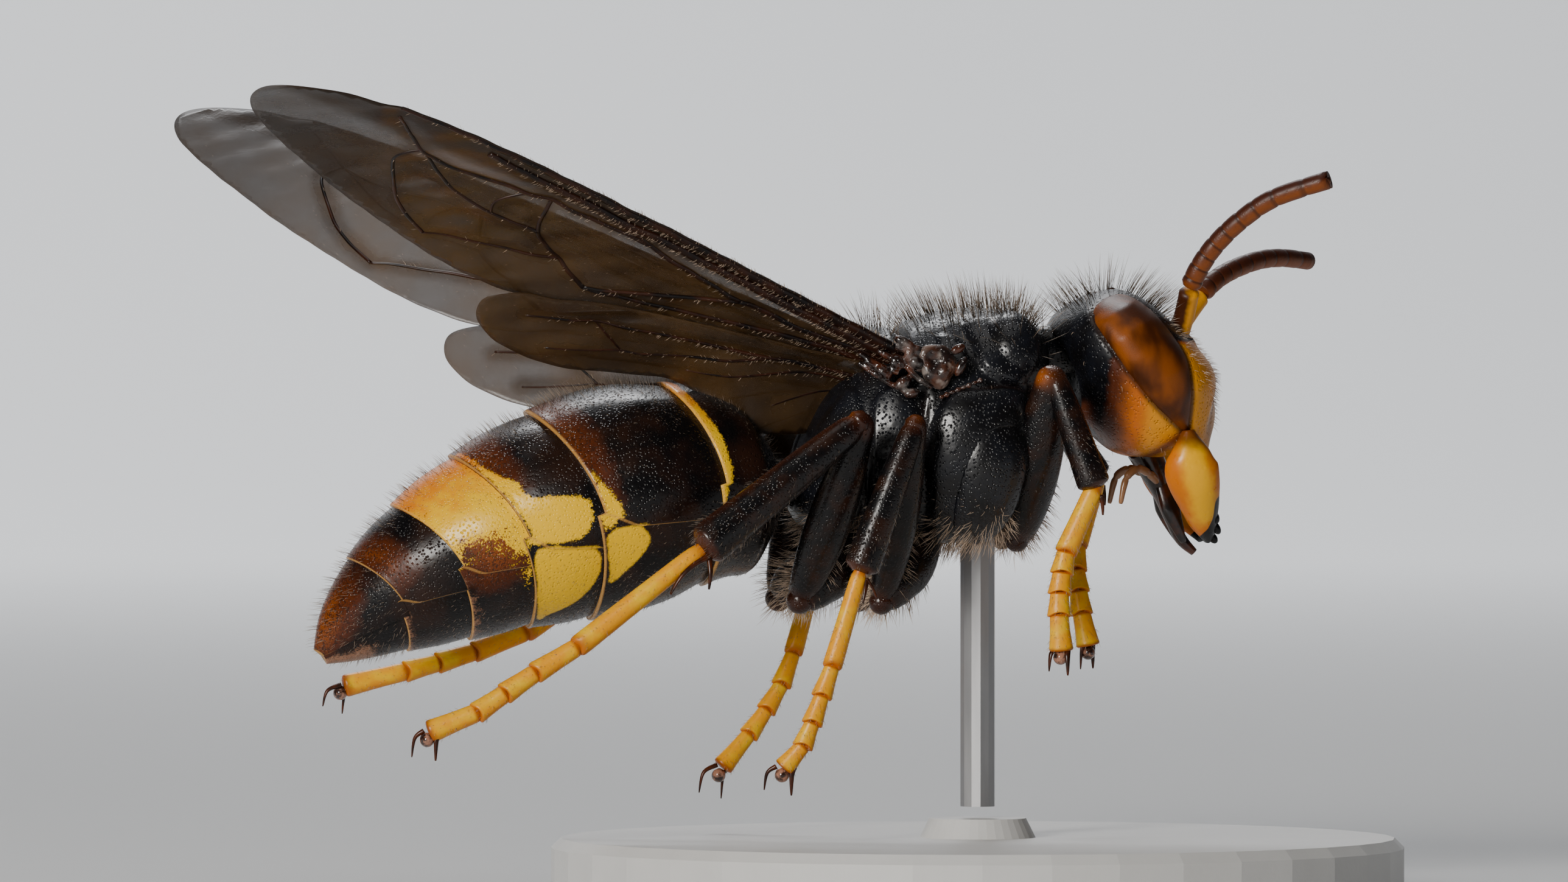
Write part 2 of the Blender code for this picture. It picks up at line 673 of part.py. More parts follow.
def make_gaster_segment(index):
    start, end = GASTER_SEGMENTS[index]
    count = GASTER_RINGS[index]
    rings = []
    for k in range(count):
        s = start + (end - start) * k / (count - 1)
        along, up, fall, half_height = smooth_between(GASTER_STATIONS, s)
        fall = math.radians(fall)
        back = Vector((-math.cos(fall), 0.0, -math.sin(fall)))
        rise = Vector((-math.sin(fall), 0.0, math.cos(fall)))
        centre = Vector((along, 0.0, up))
        if k == 0 and index > 0:
            centre += back * GAP
        scale = 1.0
        if index > 0:
            scale = MARGIN_STEP + (1.0 - MARGIN_STEP) * k / (count - 1)
        leading = MARGIN_SWEEP * half_height * min(1.0, s / 2.0)
        ring = []
        for i in range(GASTER_SIDES):
            angle = 2 * math.pi * i / GASTER_SIDES
            place = centre + rise * half_height * scale * math.cos(angle)
            place += Vector((0.0, half_height * GASTER_WIDTH * scale * math.sin(angle), 0.0))
            place -= back * leading * math.sin(angle) ** 2
            ring.append(at(*place))
        rings.append(ring)
    segment = loft(f"gaster_{index + 1}", rings)
    keep_room(segment.name, segment)
    return segment


def to_segment(point, a, b):
    """The distance in the wing's plane from a point to a stretch of vein."""
    run = b - a
    part = max(0.0, min(1.0, (point - a).dot(run) / run.length_squared))
    return (point - (a + run * part)).length


def wing_outline_mesh(edge, veins):
    """Triangles that fill an outline in the wing's plane and follow its veins."""
    points = [Vector(place) for place in edge]
    lines = [(i, (i + 1) % len(edge)) for i in range(len(edge))]
    for route in veins.values():
        stations = [Vector(place) for place in route]
        for offset in (0.0, -VEIN_HALF_WIDTH, VEIN_HALF_WIDTH):
            first = len(points)
            for i, place in enumerate(stations):
                run = stations[min(i + 1, len(stations) - 1)] - stations[max(i - 1, 0)]
                sideways = Vector((-run.y, run.x)).normalized()
                points.append(place + sideways * offset)
            lines.extend((first + i, first + i + 1) for i in range(len(stations) - 1))
    filled = delaunay_2d_cdt(points, lines, [], 1, MESH_SNAP)
    flat = bmesh.new()
    corners = [flat.verts.new((place.x, place.y, 0.0)) for place in filled[0]]
    for face in filled[2]:
        flat.faces.new([corners[i] for i in face])
    loose = [v for v in flat.verts if not v.link_faces]
    bmesh.ops.delete(flat, geom=loose, context="VERTS")
    bmesh.ops.remove_doubles(flat, verts=flat.verts, dist=MESH_WELD)
    bmesh.ops.triangulate(flat, faces=flat.faces)
    return flat


def wing_place(wing, s, t, above):
    """A place on or above a wing's gently arched middle surface."""
    span = Vector(WING_SPAN).normalized()
    chord = Vector(WING_CHORD)
    chord = (chord - chord.dot(span) * span).normalized()
    chord = Matrix.Rotation(WING_TWIST[wing], 3, span) @ chord
    normal = chord.cross(span)
    if normal.z < 0:
        normal.negate()
    arch = WING_CAMBER * math.sin(math.pi * min(1.0, max(0.0, s / WING_LENGTH)))
    arch -= WING_DROOP * (s / WING_LENGTH) ** 2
    arch -= CHORD_ARCH * (t - CHORD_CREST) ** 2
    place = Vector(WING_ROOT) + span * s + chord * t + normal * (arch + above)
    return at(place.x, place.y * side_sign(wing.split("_")[1]), place.z)


def make_wing(wing, edge, veins):
    """A membrane with its veins raised on both faces, which share one set of triangles."""
    flat = wing_outline_mesh(edge, veins)
    runs = []
    for route in veins.values():
        runs.extend((Vector(a), Vector(b)) for a, b in zip(route, route[1:]))
    shape = bmesh.new()
    upper = {}
    lower = {}
    for vertex in flat.verts:
        point = Vector((vertex.co.x, vertex.co.y))
        near = min(to_segment(point, a, b) for a, b in runs)
        ridge = VEIN_HEIGHT * max(0.0, 1.0 - near / VEIN_HALF_WIDTH)
        if vertex.is_boundary:
            ridge = 0.0
        half = WING_THICKNESS / 2 + ridge
        upper[vertex] = shape.verts.new(wing_place(wing, point.x, point.y, half))
        lower[vertex] = shape.verts.new(wing_place(wing, point.x, point.y, -half))
    for face in flat.faces:
        shape.faces.new([upper[v] for v in face.verts])
        shape.faces.new([lower[v] for v in reversed(face.verts)])
    for edge_of_wing in flat.edges:
        if edge_of_wing.is_boundary:
            a, b = edge_of_wing.verts
            shape.faces.new((upper[a], lower[a], lower[b]))
            shape.faces.new((upper[a], lower[b], upper[b]))
    flat.free()
    return from_bmesh(wing, shape)


def between(a, b, part):
    return tuple(p + (q - p) * part for p, q in zip(a, b))


def limb(name, start, end, thickest, stations, bow):
    """A tapering limb from one joint to the next, bowed a little forwards."""
    points = []
    radii = []
    for part, share in stations:
        along, out, up = between(start, end, part)
        points.append((along + bow * math.sin(math.pi * part), out, up))
        radii.append(thickest * share)
    return tube(name, points, radii, 2)


def make_claw(start, end):
    """A hooked claw that bends down towards its tip."""
    further = between(start, end, 0.80)
    bend = (further[0], further[1], between(start, end, 0.55)[2] + CLAW_HOOK)
    return tube("claw", [start, bend, end], [CLAW_RADIUS, CLAW_RADIUS * 0.85, CLAW_RADIUS * 0.3], 1)


def make_leg(key):
    """The coxa, femur, tibia and tarsus of one leg, from the body out."""
    pair, side = key.split("_")
    sign = side_sign(side)
    places = LEG_PLACES[key]
    coxa_radius, femur_radius, tibia_radius, foot_radius = LEG_RADII[pair]
    root = mirrored(places["coxa"], sign)
    trochanter = root[-1]
    knee, ankle = mirrored([places["knee"], places["ankle"]], sign)
    foot = mirrored(places["tarsus"], sign)
    claws = mirrored(places["claws"], sign)

    coxa_route = [root[0], root[1], between(root[1], root[2], 0.55), root[2]]
    coxa = tube(f"leg_{key}_coxa", coxa_route, [coxa_radius * share for share in COXA_TAPER], 3)
    keep_room(coxa.name, coxa)
    femur = limb(f"leg_{key}_femur", trochanter, knee, femur_radius, FEMUR_STATIONS, FEMUR_BOW)
    keep_room(femur.name, femur)
    tibia = limb(f"leg_{key}_tibia", knee, ankle, tibia_radius, TIBIA_STATIONS, 0.0)
    keep_room(tibia.name, tibia)
    tarsus = make_tarsus(key, [ankle] + foot, foot_radius, claws)

    spur_root = between(ankle, knee, 0.05)
    along, out, up = between(ankle, foot[0], 0.20)
    spur_tip = (along + SPUR_SPREAD, out, up - SPUR_DROP)
    spur = cut_clear(tube("spur", [spur_root, spur_tip], SPUR_RADII, 1), tarsus.name)
    join(tibia, spur)
    return coxa, femur, tibia, tarsus


def make_tarsus(key, joints, foot_radius, claws):
    """The five joints of a foot in one piece, each widening towards its end, with its claws."""
    points = []
    radii = []
    for i, (a, b) in enumerate(zip(joints, joints[1:])):
        slim = foot_radius * (TARSOMERE_SLIM if i else 0.90)
        wide = foot_radius * (TARSOMERE_WIDE if 0 < i < 4 else 1.0)
        first = 0.10 if i else GAP / math.dist(a, b)
        points.extend((between(a, b, first), between(a, b, 0.80), between(a, b, 0.97)))
        radii.extend((slim, wide, wide * 0.92))
    tarsus = tube(f"leg_{key}_tarsus", points, radii, 2)
    keep_room(tarsus.name, tarsus)
    tip = joints[-1]
    added = [make_claw(between(tip, joints[-2], 0.06), claw) for claw in claws]
    pad = between(tip, between(claws[0], claws[1], 0.5), 0.42)
    added.append(ellipsoid("pad", at(*pad), (PAD_RADIUS,) * 3, None, 8, 6))
    return join(tarsus, *added)


def make_base():
    """A turned disc with a small boss that the rod stands on."""
    profile = [
        (0.0, 0.0),
        (BASE_RADIUS - BASE_BEVEL, 0.0),
        (BASE_RADIUS, BASE_BEVEL),
        (BASE_RADIUS, BASE_THICKNESS - BASE_BEVEL),
        (BASE_RADIUS - BASE_BEVEL, BASE_THICKNESS),
        (BOSS_RADIUS, BASE_THICKNESS),
        (BOSS_RADIUS - BASE_BEVEL, BASE_THICKNESS + BOSS_HEIGHT),
        (0.0, BASE_THICKNESS + BOSS_HEIGHT),
    ]
    shape = bmesh.new()
    corners = [shape.verts.new((radius * MM, 0.0, height * MM)) for radius, height in reversed(profile)]
    for a, b in zip(corners, corners[1:]):
        shape.edges.new((a, b))
    mesh = bpy.data.meshes.new("stand_base")
    shape.to_mesh(mesh)
    shape.free()
    base = bpy.data.objects.new("stand_base", mesh)
    collection(COLLECTION).objects.link(base)
    screw = base.modifiers.new("turn", "SCREW")
    screw.axis = "Z"
    screw.steps = BASE_SIDES
    screw.render_steps = BASE_SIDES
    screw.use_merge_vertices = True
    screw.merge_threshold = 0.00001
    screw.use_normal_calculate = True
    apply_modifiers(base)
    return base


def make_rod():
    """The rod from the boss up to the middle of the thorax's underside."""
    foot = BASE_THICKNESS + BOSS_HEIGHT + GAP - LIFT
    return tube("stand_rod", [(ROD_X, 0.0, foot), (ROD_X, 0.0, ROD_TOP)], [ROD_RADIUS, ROD_RADIUS], 4)


def build():
    clear_scene()
    collection(COLLECTION)
    collection(CUTTERS)

    head = make_head()
    eyes = [make_eye(side) for side in ("left", "right")]
    cut_clear(head, "eye_left", "eye_right")
    jaws = [cut_clear(make_mandible(side), "head") for side in ("left", "right")]
    mouthparts = cut_clear(make_mouthparts(), "head", "mandible_left", "mandible_right")
    thorax = make_thorax()
    neck = cut_clear(tube("neck", NECK, [NECK_RADIUS] * 3, 3), "head", "thorax")
    segments = [make_gaster_segment(i) for i in range(len(GASTER_SEGMENTS))]
    cut_clear(join(segments[0], tube("waist", WAIST, [WAIST_RADIUS] * 3, 3)), "thorax")
    finish_node(head, "face_orange")
    for eye in eyes:
        finish_node(eye, "eye_brown")
    for jaw in jaws:
        finish_node(jaw, "jaw_yellow")
    finish_node(mouthparts, "face_orange")
    finish_node(thorax, "black_cuticle")
    finish_node(neck, "black_cuticle")
    for i, segment in enumerate(segments):
        finish_node(segment, "gaster_orange" if i == 3 else "gaster_black")

    for side in ("left", "right"):
        scape = cut_clear(make_scape(side), "head")
        flagellum = cut_clear(make_flagellum(side), scape.name)
        finish_node(scape, "antenna_brown")
        finish_node(flagellum, "antenna_brown")
        tegula_at = at(TEGULA_CENTRE[0], TEGULA_CENTRE[1] * side_sign(side), TEGULA_CENTRE[2])
        tegula = ellipsoid(f"tegula_{side}", tegula_at, TEGULA_RADII, None, 12, 8)
        keep_room(tegula.name, tegula)
        cut_clear(tegula, "thorax")
        forewing = make_wing(f"forewing_{side}", FOREWING_EDGE, FOREWING_VEINS)
        hindwing = make_wing(f"hindwing_{side}", HINDWING_EDGE, HINDWING_VEINS)
        cut_clear(forewing, "thorax", tegula.name)
        cut_clear(hindwing, "thorax")
        finish_node(tegula, "black_cuticle")
        finish_node(forewing, "wing_smoke")
        finish_node(hindwing, "wing_smoke")

    for key in LEG_PLACES:
        coxa, femur, tibia, tarsus = make_leg(key)
        cut_clear(coxa, "thorax")
        cut_clear(femur, "thorax", coxa.name)
        cut_clear(tibia, femur.name)
        cut_clear(tarsus, f"leg_{key}_tibia")
        finish_node(coxa, "leg_black")
        finish_node(femur, "leg_black")
        finish_node(tibia, "leg_black")
        finish_node(tarsus, "leg_yellow")

    finish_node(make_base(), "stand_white")
    finish_node(cut_clear(make_rod(), "thorax"), "rod_steel")
    for pieces in rooms.values():
        for room in pieces:
            remove(room)


build()
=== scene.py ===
# %% [markdown]
# # A hornet in flight, dressed for a close look
#
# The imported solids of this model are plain: faceted, with a small gap between the pieces.
# This lesson puts a finely made visual model over them. Each step first says what the real
# thing is like, and then builds it from named sizes. All places are written in millimetres
# from the middle of the thorax, with X towards the head, Y to the animal's left and Z up.

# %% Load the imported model
import math

import bmesh
import bpy
import numpy as np
from mathutils import Matrix, Vector
from mathutils.geometry import delaunay_2d_cdt


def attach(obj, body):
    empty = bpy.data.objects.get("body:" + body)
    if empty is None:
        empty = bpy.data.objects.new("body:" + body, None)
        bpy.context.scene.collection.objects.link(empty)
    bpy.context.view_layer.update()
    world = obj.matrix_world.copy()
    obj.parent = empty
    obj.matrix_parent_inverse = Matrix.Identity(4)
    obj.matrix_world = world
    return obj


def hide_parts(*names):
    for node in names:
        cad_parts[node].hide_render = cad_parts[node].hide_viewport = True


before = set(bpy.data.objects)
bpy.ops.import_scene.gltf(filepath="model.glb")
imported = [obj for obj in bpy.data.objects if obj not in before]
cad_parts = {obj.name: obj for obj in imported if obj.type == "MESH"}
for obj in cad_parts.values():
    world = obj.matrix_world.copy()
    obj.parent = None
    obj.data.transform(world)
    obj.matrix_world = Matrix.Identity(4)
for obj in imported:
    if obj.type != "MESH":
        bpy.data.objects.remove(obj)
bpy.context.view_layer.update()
print("solids loaded:", len(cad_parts))

# %% [markdown]
# ## Places and meshes
#
# A hornet is small, and some of Blender's tools lose precision on objects of a few
# millimetres. So the shapes are worked out in millimetres, as plain arrays of points, and
# become metres only when a mesh is made from them.

# %% From millimetres to the model's metres
MM = 0.001
ROD_X = 0.9                  # the stand's rod is under this place on the thorax
LIFT = 12.2                  # from the floor to the middle of the thorax
TOP = Vector((0.0, 0.0, 1.0))


def to_model(points):
    """Places on the hornet in millimetres, as metres from the middle of the base."""
    return (np.asarray(points, float) + (-ROD_X, 0.0, LIFT)) * MM


def add_piece(name, points, faces):
    """A smooth mesh object from places in millimetres."""
    mesh = bpy.data.meshes.new(name)
    mesh.from_pydata(to_model(points).tolist(), [], faces)
    shape = bmesh.new()
    shape.from_mesh(mesh)
    bmesh.ops.recalc_face_normals(shape, faces=shape.faces)
    shape.to_mesh(mesh)
    shape.free()
    mesh.shade_smooth()
    piece = bpy.data.objects.new(name, mesh)
    bpy.context.scene.collection.objects.link(piece)
    return piece


def note(piece, **notes):
    """Keep numbers for each vertex, which a material can read by their label."""
    for label, values in notes.items():
        layer = piece.data.attributes.new(label, "FLOAT", "POINT")
        layer.data.foreach_set("value", np.asarray(values, np.float32).ravel())


def read_note(piece, label):
    """The numbers that were kept under this label."""
    values = np.empty(len(piece.data.vertices))
    piece.data.attributes[label].data.foreach_get("value", values)
    return values


def along_rows(rows, s):
    """The row at place s of a table, smooth through every row."""
    rows = np.asarray(rows, float)
    i = min(int(s), len(rows) - 2)
    part = s - i
    a, b, c, d = rows[max(i - 1, 0)], rows[i], rows[i + 1], rows[min(i + 2, len(rows) - 1)]
    return 0.5 * (2 * b + (c - a) * part + (2 * a - 5 * b + 4 * c - d) * part ** 2
                  + (3 * b - a - 3 * c + d) * part ** 3)


def smooth_route(route, count):
    """A route with its corners rounded, as this many places spread along it."""
    return np.array([along_rows(route, s) for s in np.linspace(0, len(route) - 1, count)])


def ease(low, high, values):
    """0 below low, 1 above high, and smooth between."""
    part = np.clip((np.asarray(values, float) - low) / (high - low), 0.0, 1.0)
    return part * part * (3 - 2 * part)


def ring_form(rings):
    """Points and faces of a closed form through rings of equal size."""
    rings = np.asarray(rings, float)
    count, sides = rings.shape[:2]
    points = np.vstack([rings.reshape(-1, 3), rings[0].mean(0), rings[-1].mean(0)])
    faces = []
    for r in range(count - 1):
        for k in range(sides):
            after = (k + 1) % sides
            faces.append((r * sides + k, r * sides + after, (r + 1) * sides + after, (r + 1) * sides + k))
    for k in range(sides):
        after = (k + 1) % sides
        faces.append((k, count * sides, after))
        faces.append(((count - 1) * sides + k, (count - 1) * sides + after, count * sides + 1))
    return points, faces


def egg_form(centre, radii, turn=None, segments=32, rings=20):
    """Points and faces of an ellipsoid, in millimetres."""
    shape = bmesh.new()
    bmesh.ops.create_uvsphere(shape, u_segments=segments, v_segments=rings, radius=1.0)
    place = Matrix.Translation(Vector(centre)) @ (turn or Matrix.Identity(4)) @ Matrix.Diagonal((*radii, 1.0))
    bmesh.ops.transform(shape, matrix=place, verts=shape.verts)
    points = np.array([v.co for v in shape.verts])
    faces = [tuple(v.index for v in face.verts) for face in shape.faces]
    shape.free()
    # the sphere's faces come in no fixed order; sorted, they give the same hairs in each run
    faces = sorted(face[face.index(min(face)):] + face[:face.index(min(face))] for face in faces)
    return points, faces


def together(forms):
    """Several forms' points and faces as one list of each."""
    points = []
    faces = []
    first = 0
    for some_points, some_faces in forms:
        points.append(some_points)
        faces.extend(tuple(first + i for i in face) for face in some_faces)
        first += len(some_points)
    return np.vstack(points), faces


def route_frames(centres):
    """For each place on a route: its direction, and two directions across it that don't twist."""
    centres = np.asarray(centres, float)
    runs = np.gradient(centres, axis=0)
    runs /= np.linalg.norm(runs, axis=1)[:, None]
    side = np.cross(runs[0], TOP if abs(runs[0][2]) < 0.9 else (0.0, 1.0, 0.0))
    sides = []
    for run in runs:
        side = side - run * side.dot(run)
        side /= np.linalg.norm(side)
        sides.append(side)
    sides = np.array(sides)
    return runs, sides, np.cross(sides, runs)


def rod_form(centres, radii, sides=16, flat=1.0):
    """A tapering rod along a route; flat is its second width over its first."""
    runs, across, up = route_frames(centres)
    angles = np.linspace(0, 2 * math.pi, sides, endpoint=False)
    radii = np.asarray(radii, float)[:, None, None]
    rings = (np.asarray(centres, float)[:, None, :]
             + radii * np.cos(angles)[None, :, None] * across[:, None, :]
             + radii * flat * np.sin(angles)[None, :, None] * up[:, None, :])
    return ring_form(rings)


# %% [markdown]
# ## One skin from several forms
#
# Under a head or a thorax there is no seam where one swelling meets the next. A voxel
# remesh gives that: it fills overlapping closed forms with small cubes and draws one new
# surface round them. It also drops everything inside. Smoothing then rounds the steps.

# %% Fuse overlapping forms
def fuse(name, forms, voxel, rounds):
    """One smooth skin round forms, as its points, normals and faces in millimetres."""
    points, faces = together(forms)
    rough = bpy.data.meshes.new(name + "_rough")
    rough.from_pydata(points.tolist(), [], faces)
    holder = bpy.data.objects.new(name + "_rough", rough)
    bpy.context.scene.collection.objects.link(holder)
    remesh = holder.modifiers.new("fuse", "REMESH")
    remesh.mode = "VOXEL"
    remesh.voxel_size = voxel
    smooth = holder.modifiers.new("round", "SMOOTH")
    smooth.factor = 0.5
    smooth.iterations = rounds
    bpy.context.view_layer.update()
    mesh = bpy.data.meshes.new_from_object(holder.evaluated_get(bpy.context.evaluated_depsgraph_get()))
    found = np.empty(len(mesh.vertices) * 3)
    normals = np.empty(len(mesh.vertices) * 3)
    mesh.vertices.foreach_get("co", found)
    mesh.vertices.foreach_get("normal", normals)
    new_faces = [tuple(face.vertices) for face in mesh.polygons]
    bpy.data.objects.remove(holder)
    bpy.data.meshes.remove(rough)
    bpy.data.meshes.remove(mesh)
    return found.reshape(-1, 3), normals.reshape(-1, 3), new_faces


def distance_to(points, route):
    """How far each point is from a route of straight stretches."""
    points = np.asarray(points, float)
    route = np.asarray(route, float)
    nearest = np.full(len(points), np.inf)
    for a, b in zip(route, route[1:]):
        run = b - a
        part = np.clip((points - a) @ run / max(run @ run, 1e-12), 0.0, 1.0)
        nearest = np.minimum(nearest, np.linalg.norm(points - a - part[:, None] * run, axis=1))
    return nearest


def smooth_outline(corners, steps=7):
    """A closed outline with rounded corners."""
    corners = np.asarray(corners, float)
    ring = np.vstack([corners[-1:], corners, corners[:2]])
    rounded = []
    for i in range(1, len(ring) - 2):
        for part in np.linspace(0, 1, steps, endpoint=False):
            rounded.append(along_rows(ring[i - 1:i + 3], 1 + part))
    return np.array(rounded)


def inside(outline, flat):
    """Which places lie inside a closed outline."""
    x, y = np.asarray(flat, float).T
    found = np.zeros(len(x), bool)
    for (x1, y1), (x2, y2) in zip(outline, np.roll(outline, -1, axis=0)):
        crosses = (y1 > y) != (y2 > y)
        with np.errstate(divide="ignore", invalid="ignore"):
            found ^= crosses & (x < (x2 - x1) * (y - y1) / (y2 - y1) + x1)
    return found


def depth_inside(outline, flat):
    """How deep places lie inside a closed outline; outside is negative."""
    away = distance_to(flat, np.vstack([outline, outline[:1]]))
    return np.where(inside(outline, flat), away, -away)


def groove(points, normals, route, depth, width):
    """Press a rounded groove into a skin along a route, and say how deep each point lies."""
    amount = np.exp(-(distance_to(points, route) / width) ** 2)
    points -= normals * (depth * amount)[:, None]
    return amount


# %% [markdown]
# ## Finishes as sums
#
# A material here is written as arithmetic on masks: where the dark ends, how far the yellow
# patch reaches, how rough the shell is. One class wraps a node's output, so that `a * 2 + b`
# adds the Math nodes by itself. Colours don't go through Math nodes, which would turn them
# grey; they are mixed with Mix nodes.

# %% A value that flows between nodes
class Flow:
    """The output of a node, which can be used in sums with others and with numbers."""

    def __init__(self, finish, socket):
        self.finish = finish
        self.socket = socket

    def sum_of(self, operation, *others):
        return self.finish.add("ShaderNodeMath", {"operation": operation}, [self, *others])

    def __add__(self, other):
        return self.sum_of("ADD", other)

    def __sub__(self, other):
        return self.sum_of("SUBTRACT", other)

    def __mul__(self, other):
        return self.sum_of("MULTIPLY", other)

    def __rsub__(self, other):
        return self.finish.add("ShaderNodeMath", {"operation": "SUBTRACT"}, [other, self])

    __radd__ = __add__
    __rmul__ = __mul__

    def rise(self, low, high):
        """0 where the value is below low, 1 where it is above high, smooth between."""
        settings = {"interpolation_type": "SMOOTHSTEP"}
        return self.finish.add("ShaderNodeMapRange", settings, {0: self, 1: low, 2: high})

    def least(self, other):
        return self.sum_of("MINIMUM", other)

    def most(self, other):
        return self.sum_of("MAXIMUM", other)


class Finish:
    """A material with a Principled shader, and one method that adds any other node."""

    def __init__(self, name, **constants):
        self.material = bpy.data.materials.new(name)
        self.material.use_nodes = True
        self.tree = self.material.node_tree
        self.shader = self.tree.nodes["Principled BSDF"]
        for label, value in constants.items():
            self.shader.inputs[label.replace("_", " ").title()].default_value = value

    def add(self, kind, settings=None, inputs=(), output=0):
        node = self.tree.nodes.new(kind)
        for label, value in (settings or {}).items():
            setattr(node, label, value)
        pairs = inputs.items() if isinstance(inputs, dict) else enumerate(inputs)
        for key, value in pairs:
            if isinstance(value, Flow):
                self.tree.links.new(value.socket, node.inputs[key])
            else:
                node.inputs[key].default_value = value
        return Flow(self, node.outputs[output])

    def place(self):
        """Places on the piece in millimetres."""
        where = self.add("ShaderNodeTexCoord", output="Object")
        return self.add("ShaderNodeVectorMath", {"operation": "SCALE"}, {0: where, "Scale": 1 / MM})

    def noted(self, label):
        """The number that the mesh keeps under this label."""
        return self.add("ShaderNodeAttribute", {"attribute_name": label}, output="Fac")

    def noise(self, scale, detail=3.0, stretch=None):
        where = self.place()
        if stretch is not None:
            where = self.add("ShaderNodeVectorMath", {"operation": "MULTIPLY"}, [where, stretch])
        return self.add("ShaderNodeTexNoise", None, {"Vector": where, "Scale": scale, "Detail": detail})

    def facing(self, axis):
        """How far the surface faces along an axis of the world: 0 for X, 2 for Z."""
        normal = self.add("ShaderNodeNewGeometry", output="Normal")
        return self.add("ShaderNodeSeparateXYZ", None, [normal], output=axis)

    def pits(self, scale):
        """Distance from the nearest of many scattered pits."""
        return self.add("ShaderNodeTexVoronoi", None, {"Vector": self.place(), "Scale": scale})

    def blend(self, factor, low, high):
        """One colour where the factor is 0 and another where it is 1."""
        wanted = {0: factor, 6: low, 7: high}
        return self.add("ShaderNodeMix", {"data_type": "RGBA"}, wanted, output=2)

    def bump(self, height, strength, distance):
        wanted = {"Height": height, "Strength": strength, "Distance": distance * MM}
        return self.add("ShaderNodeBump", None, wanted)

    def set(self, label, value):
        if isinstance(value, Flow):
            self.tree.links.new(value.socket, self.shader.inputs[label])
        else:
            self.shader.inputs[label].default_value = value
        return self


def paint(piece, finish, replaces=()):
    """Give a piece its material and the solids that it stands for."""
    piece.data.materials.clear()
    piece.data.materials.append(finish.material)
    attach(piece, "root")
    if replaces:
        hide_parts(*replaces)
    print(piece.name, "has", sum(len(f.vertices) - 2 for f in piece.data.polygons), "triangles")
    return piece


# %% [markdown]
# ## The gaster: six rings that slide into each other
#
# A hornet's hind body is a row of plates. Each back plate covers the front of the next one
# and ends in a thin pale rim, and on each side it laps over the belly plate below it. One
# surface can show all this: rings of points follow the body's curved axis, swell a little
# within each plate, step in sharply behind its rim, and lie lower past its side edge.

# %% Sizes of the gaster
GASTER_STATIONS = [
    # along, up, fall in degrees, half height
    (-4.46, -1.62, 4.0, 1.08),
    (-5.05, -1.56, 6.0, 1.98),
    (-5.55, -1.50, 8.5, 2.40),
    (-6.42, -1.44, 12.7, 2.62),
    (-8.10, -1.78, 15.5, 2.95),
    (-9.95, -2.32, 18.9, 2.86),
    (-11.71, -2.98, 26.5, 2.50),
    (-13.21, -3.76, 32.4, 2.08),
    (-14.57, -4.58, 36.0, 1.50),
    (-15.55, -5.36, 40.0, 0.86),
    (-16.12, -5.90, 42.0, 0.26),
]
GASTER_PLATES = [(0.0, 3.25), (3.25, 5.0), (5.0, 6.0), (6.0, 7.0), (7.0, 8.0), (8.0, 10.0)]
GASTER_WIDTH = 1.12          # half width over half height
MARGIN_SWEEP = 0.26          # how far a rim leads at the sides, over the half height
EDGE_COLUMN = 0.575          # the column that follows the back plates' side edges
# part of the way along a plate, and its size there
PLATE_PROFILE = [(0.0, 0.958), (0.05, 0.963), (0.10, 0.968), (0.16, 0.974), (0.22, 0.979), (0.29, 0.984),
                 (0.36, 0.989), (0.43, 0.993), (0.50, 0.996), (0.57, 0.998), (0.64, 0.999), (0.71, 1.0),
                 (0.78, 1.0), (0.84, 1.0), (0.89, 1.0), (0.93, 0.999), (0.96, 1.003), (0.98, 1.004),
                 (1.0, 0.999), (1.0, 0.985), (0.99, 0.960)]
FRONT_DOME = ((0.45, 0.13), (0.75, 0.09), (0.92, 0.04))      # rings over the front end: size and bulge
BELLY_SHIFT = 0.10           # belly plates end this much further back
BELLY_DROP = 0.075           # and lie this much lower, in millimetres
SIDE_EDGE = 0.62             # how far round a back plate's side edge starts
EDGE_RISES = (0.06, 0.045)   # how much higher it ends: evenly, and more over its last quarter


def gaster_columns():
    """How far round each column of points lies, from 0 at the top to 1 at the bottom, and its side."""
    near_edge = (EDGE_COLUMN - 0.006, EDGE_COLUMN, EDGE_COLUMN + 0.003, EDGE_COLUMN + 0.010)
    half = np.concatenate([np.linspace(0, EDGE_COLUMN - 0.014, 42), near_edge,
                           np.linspace(EDGE_COLUMN + 0.022, 1, 28)])
    sides = np.concatenate([np.ones(len(half)), -np.ones(len(half) - 2)])
    return np.concatenate([half, half[-2:0:-1]]), sides


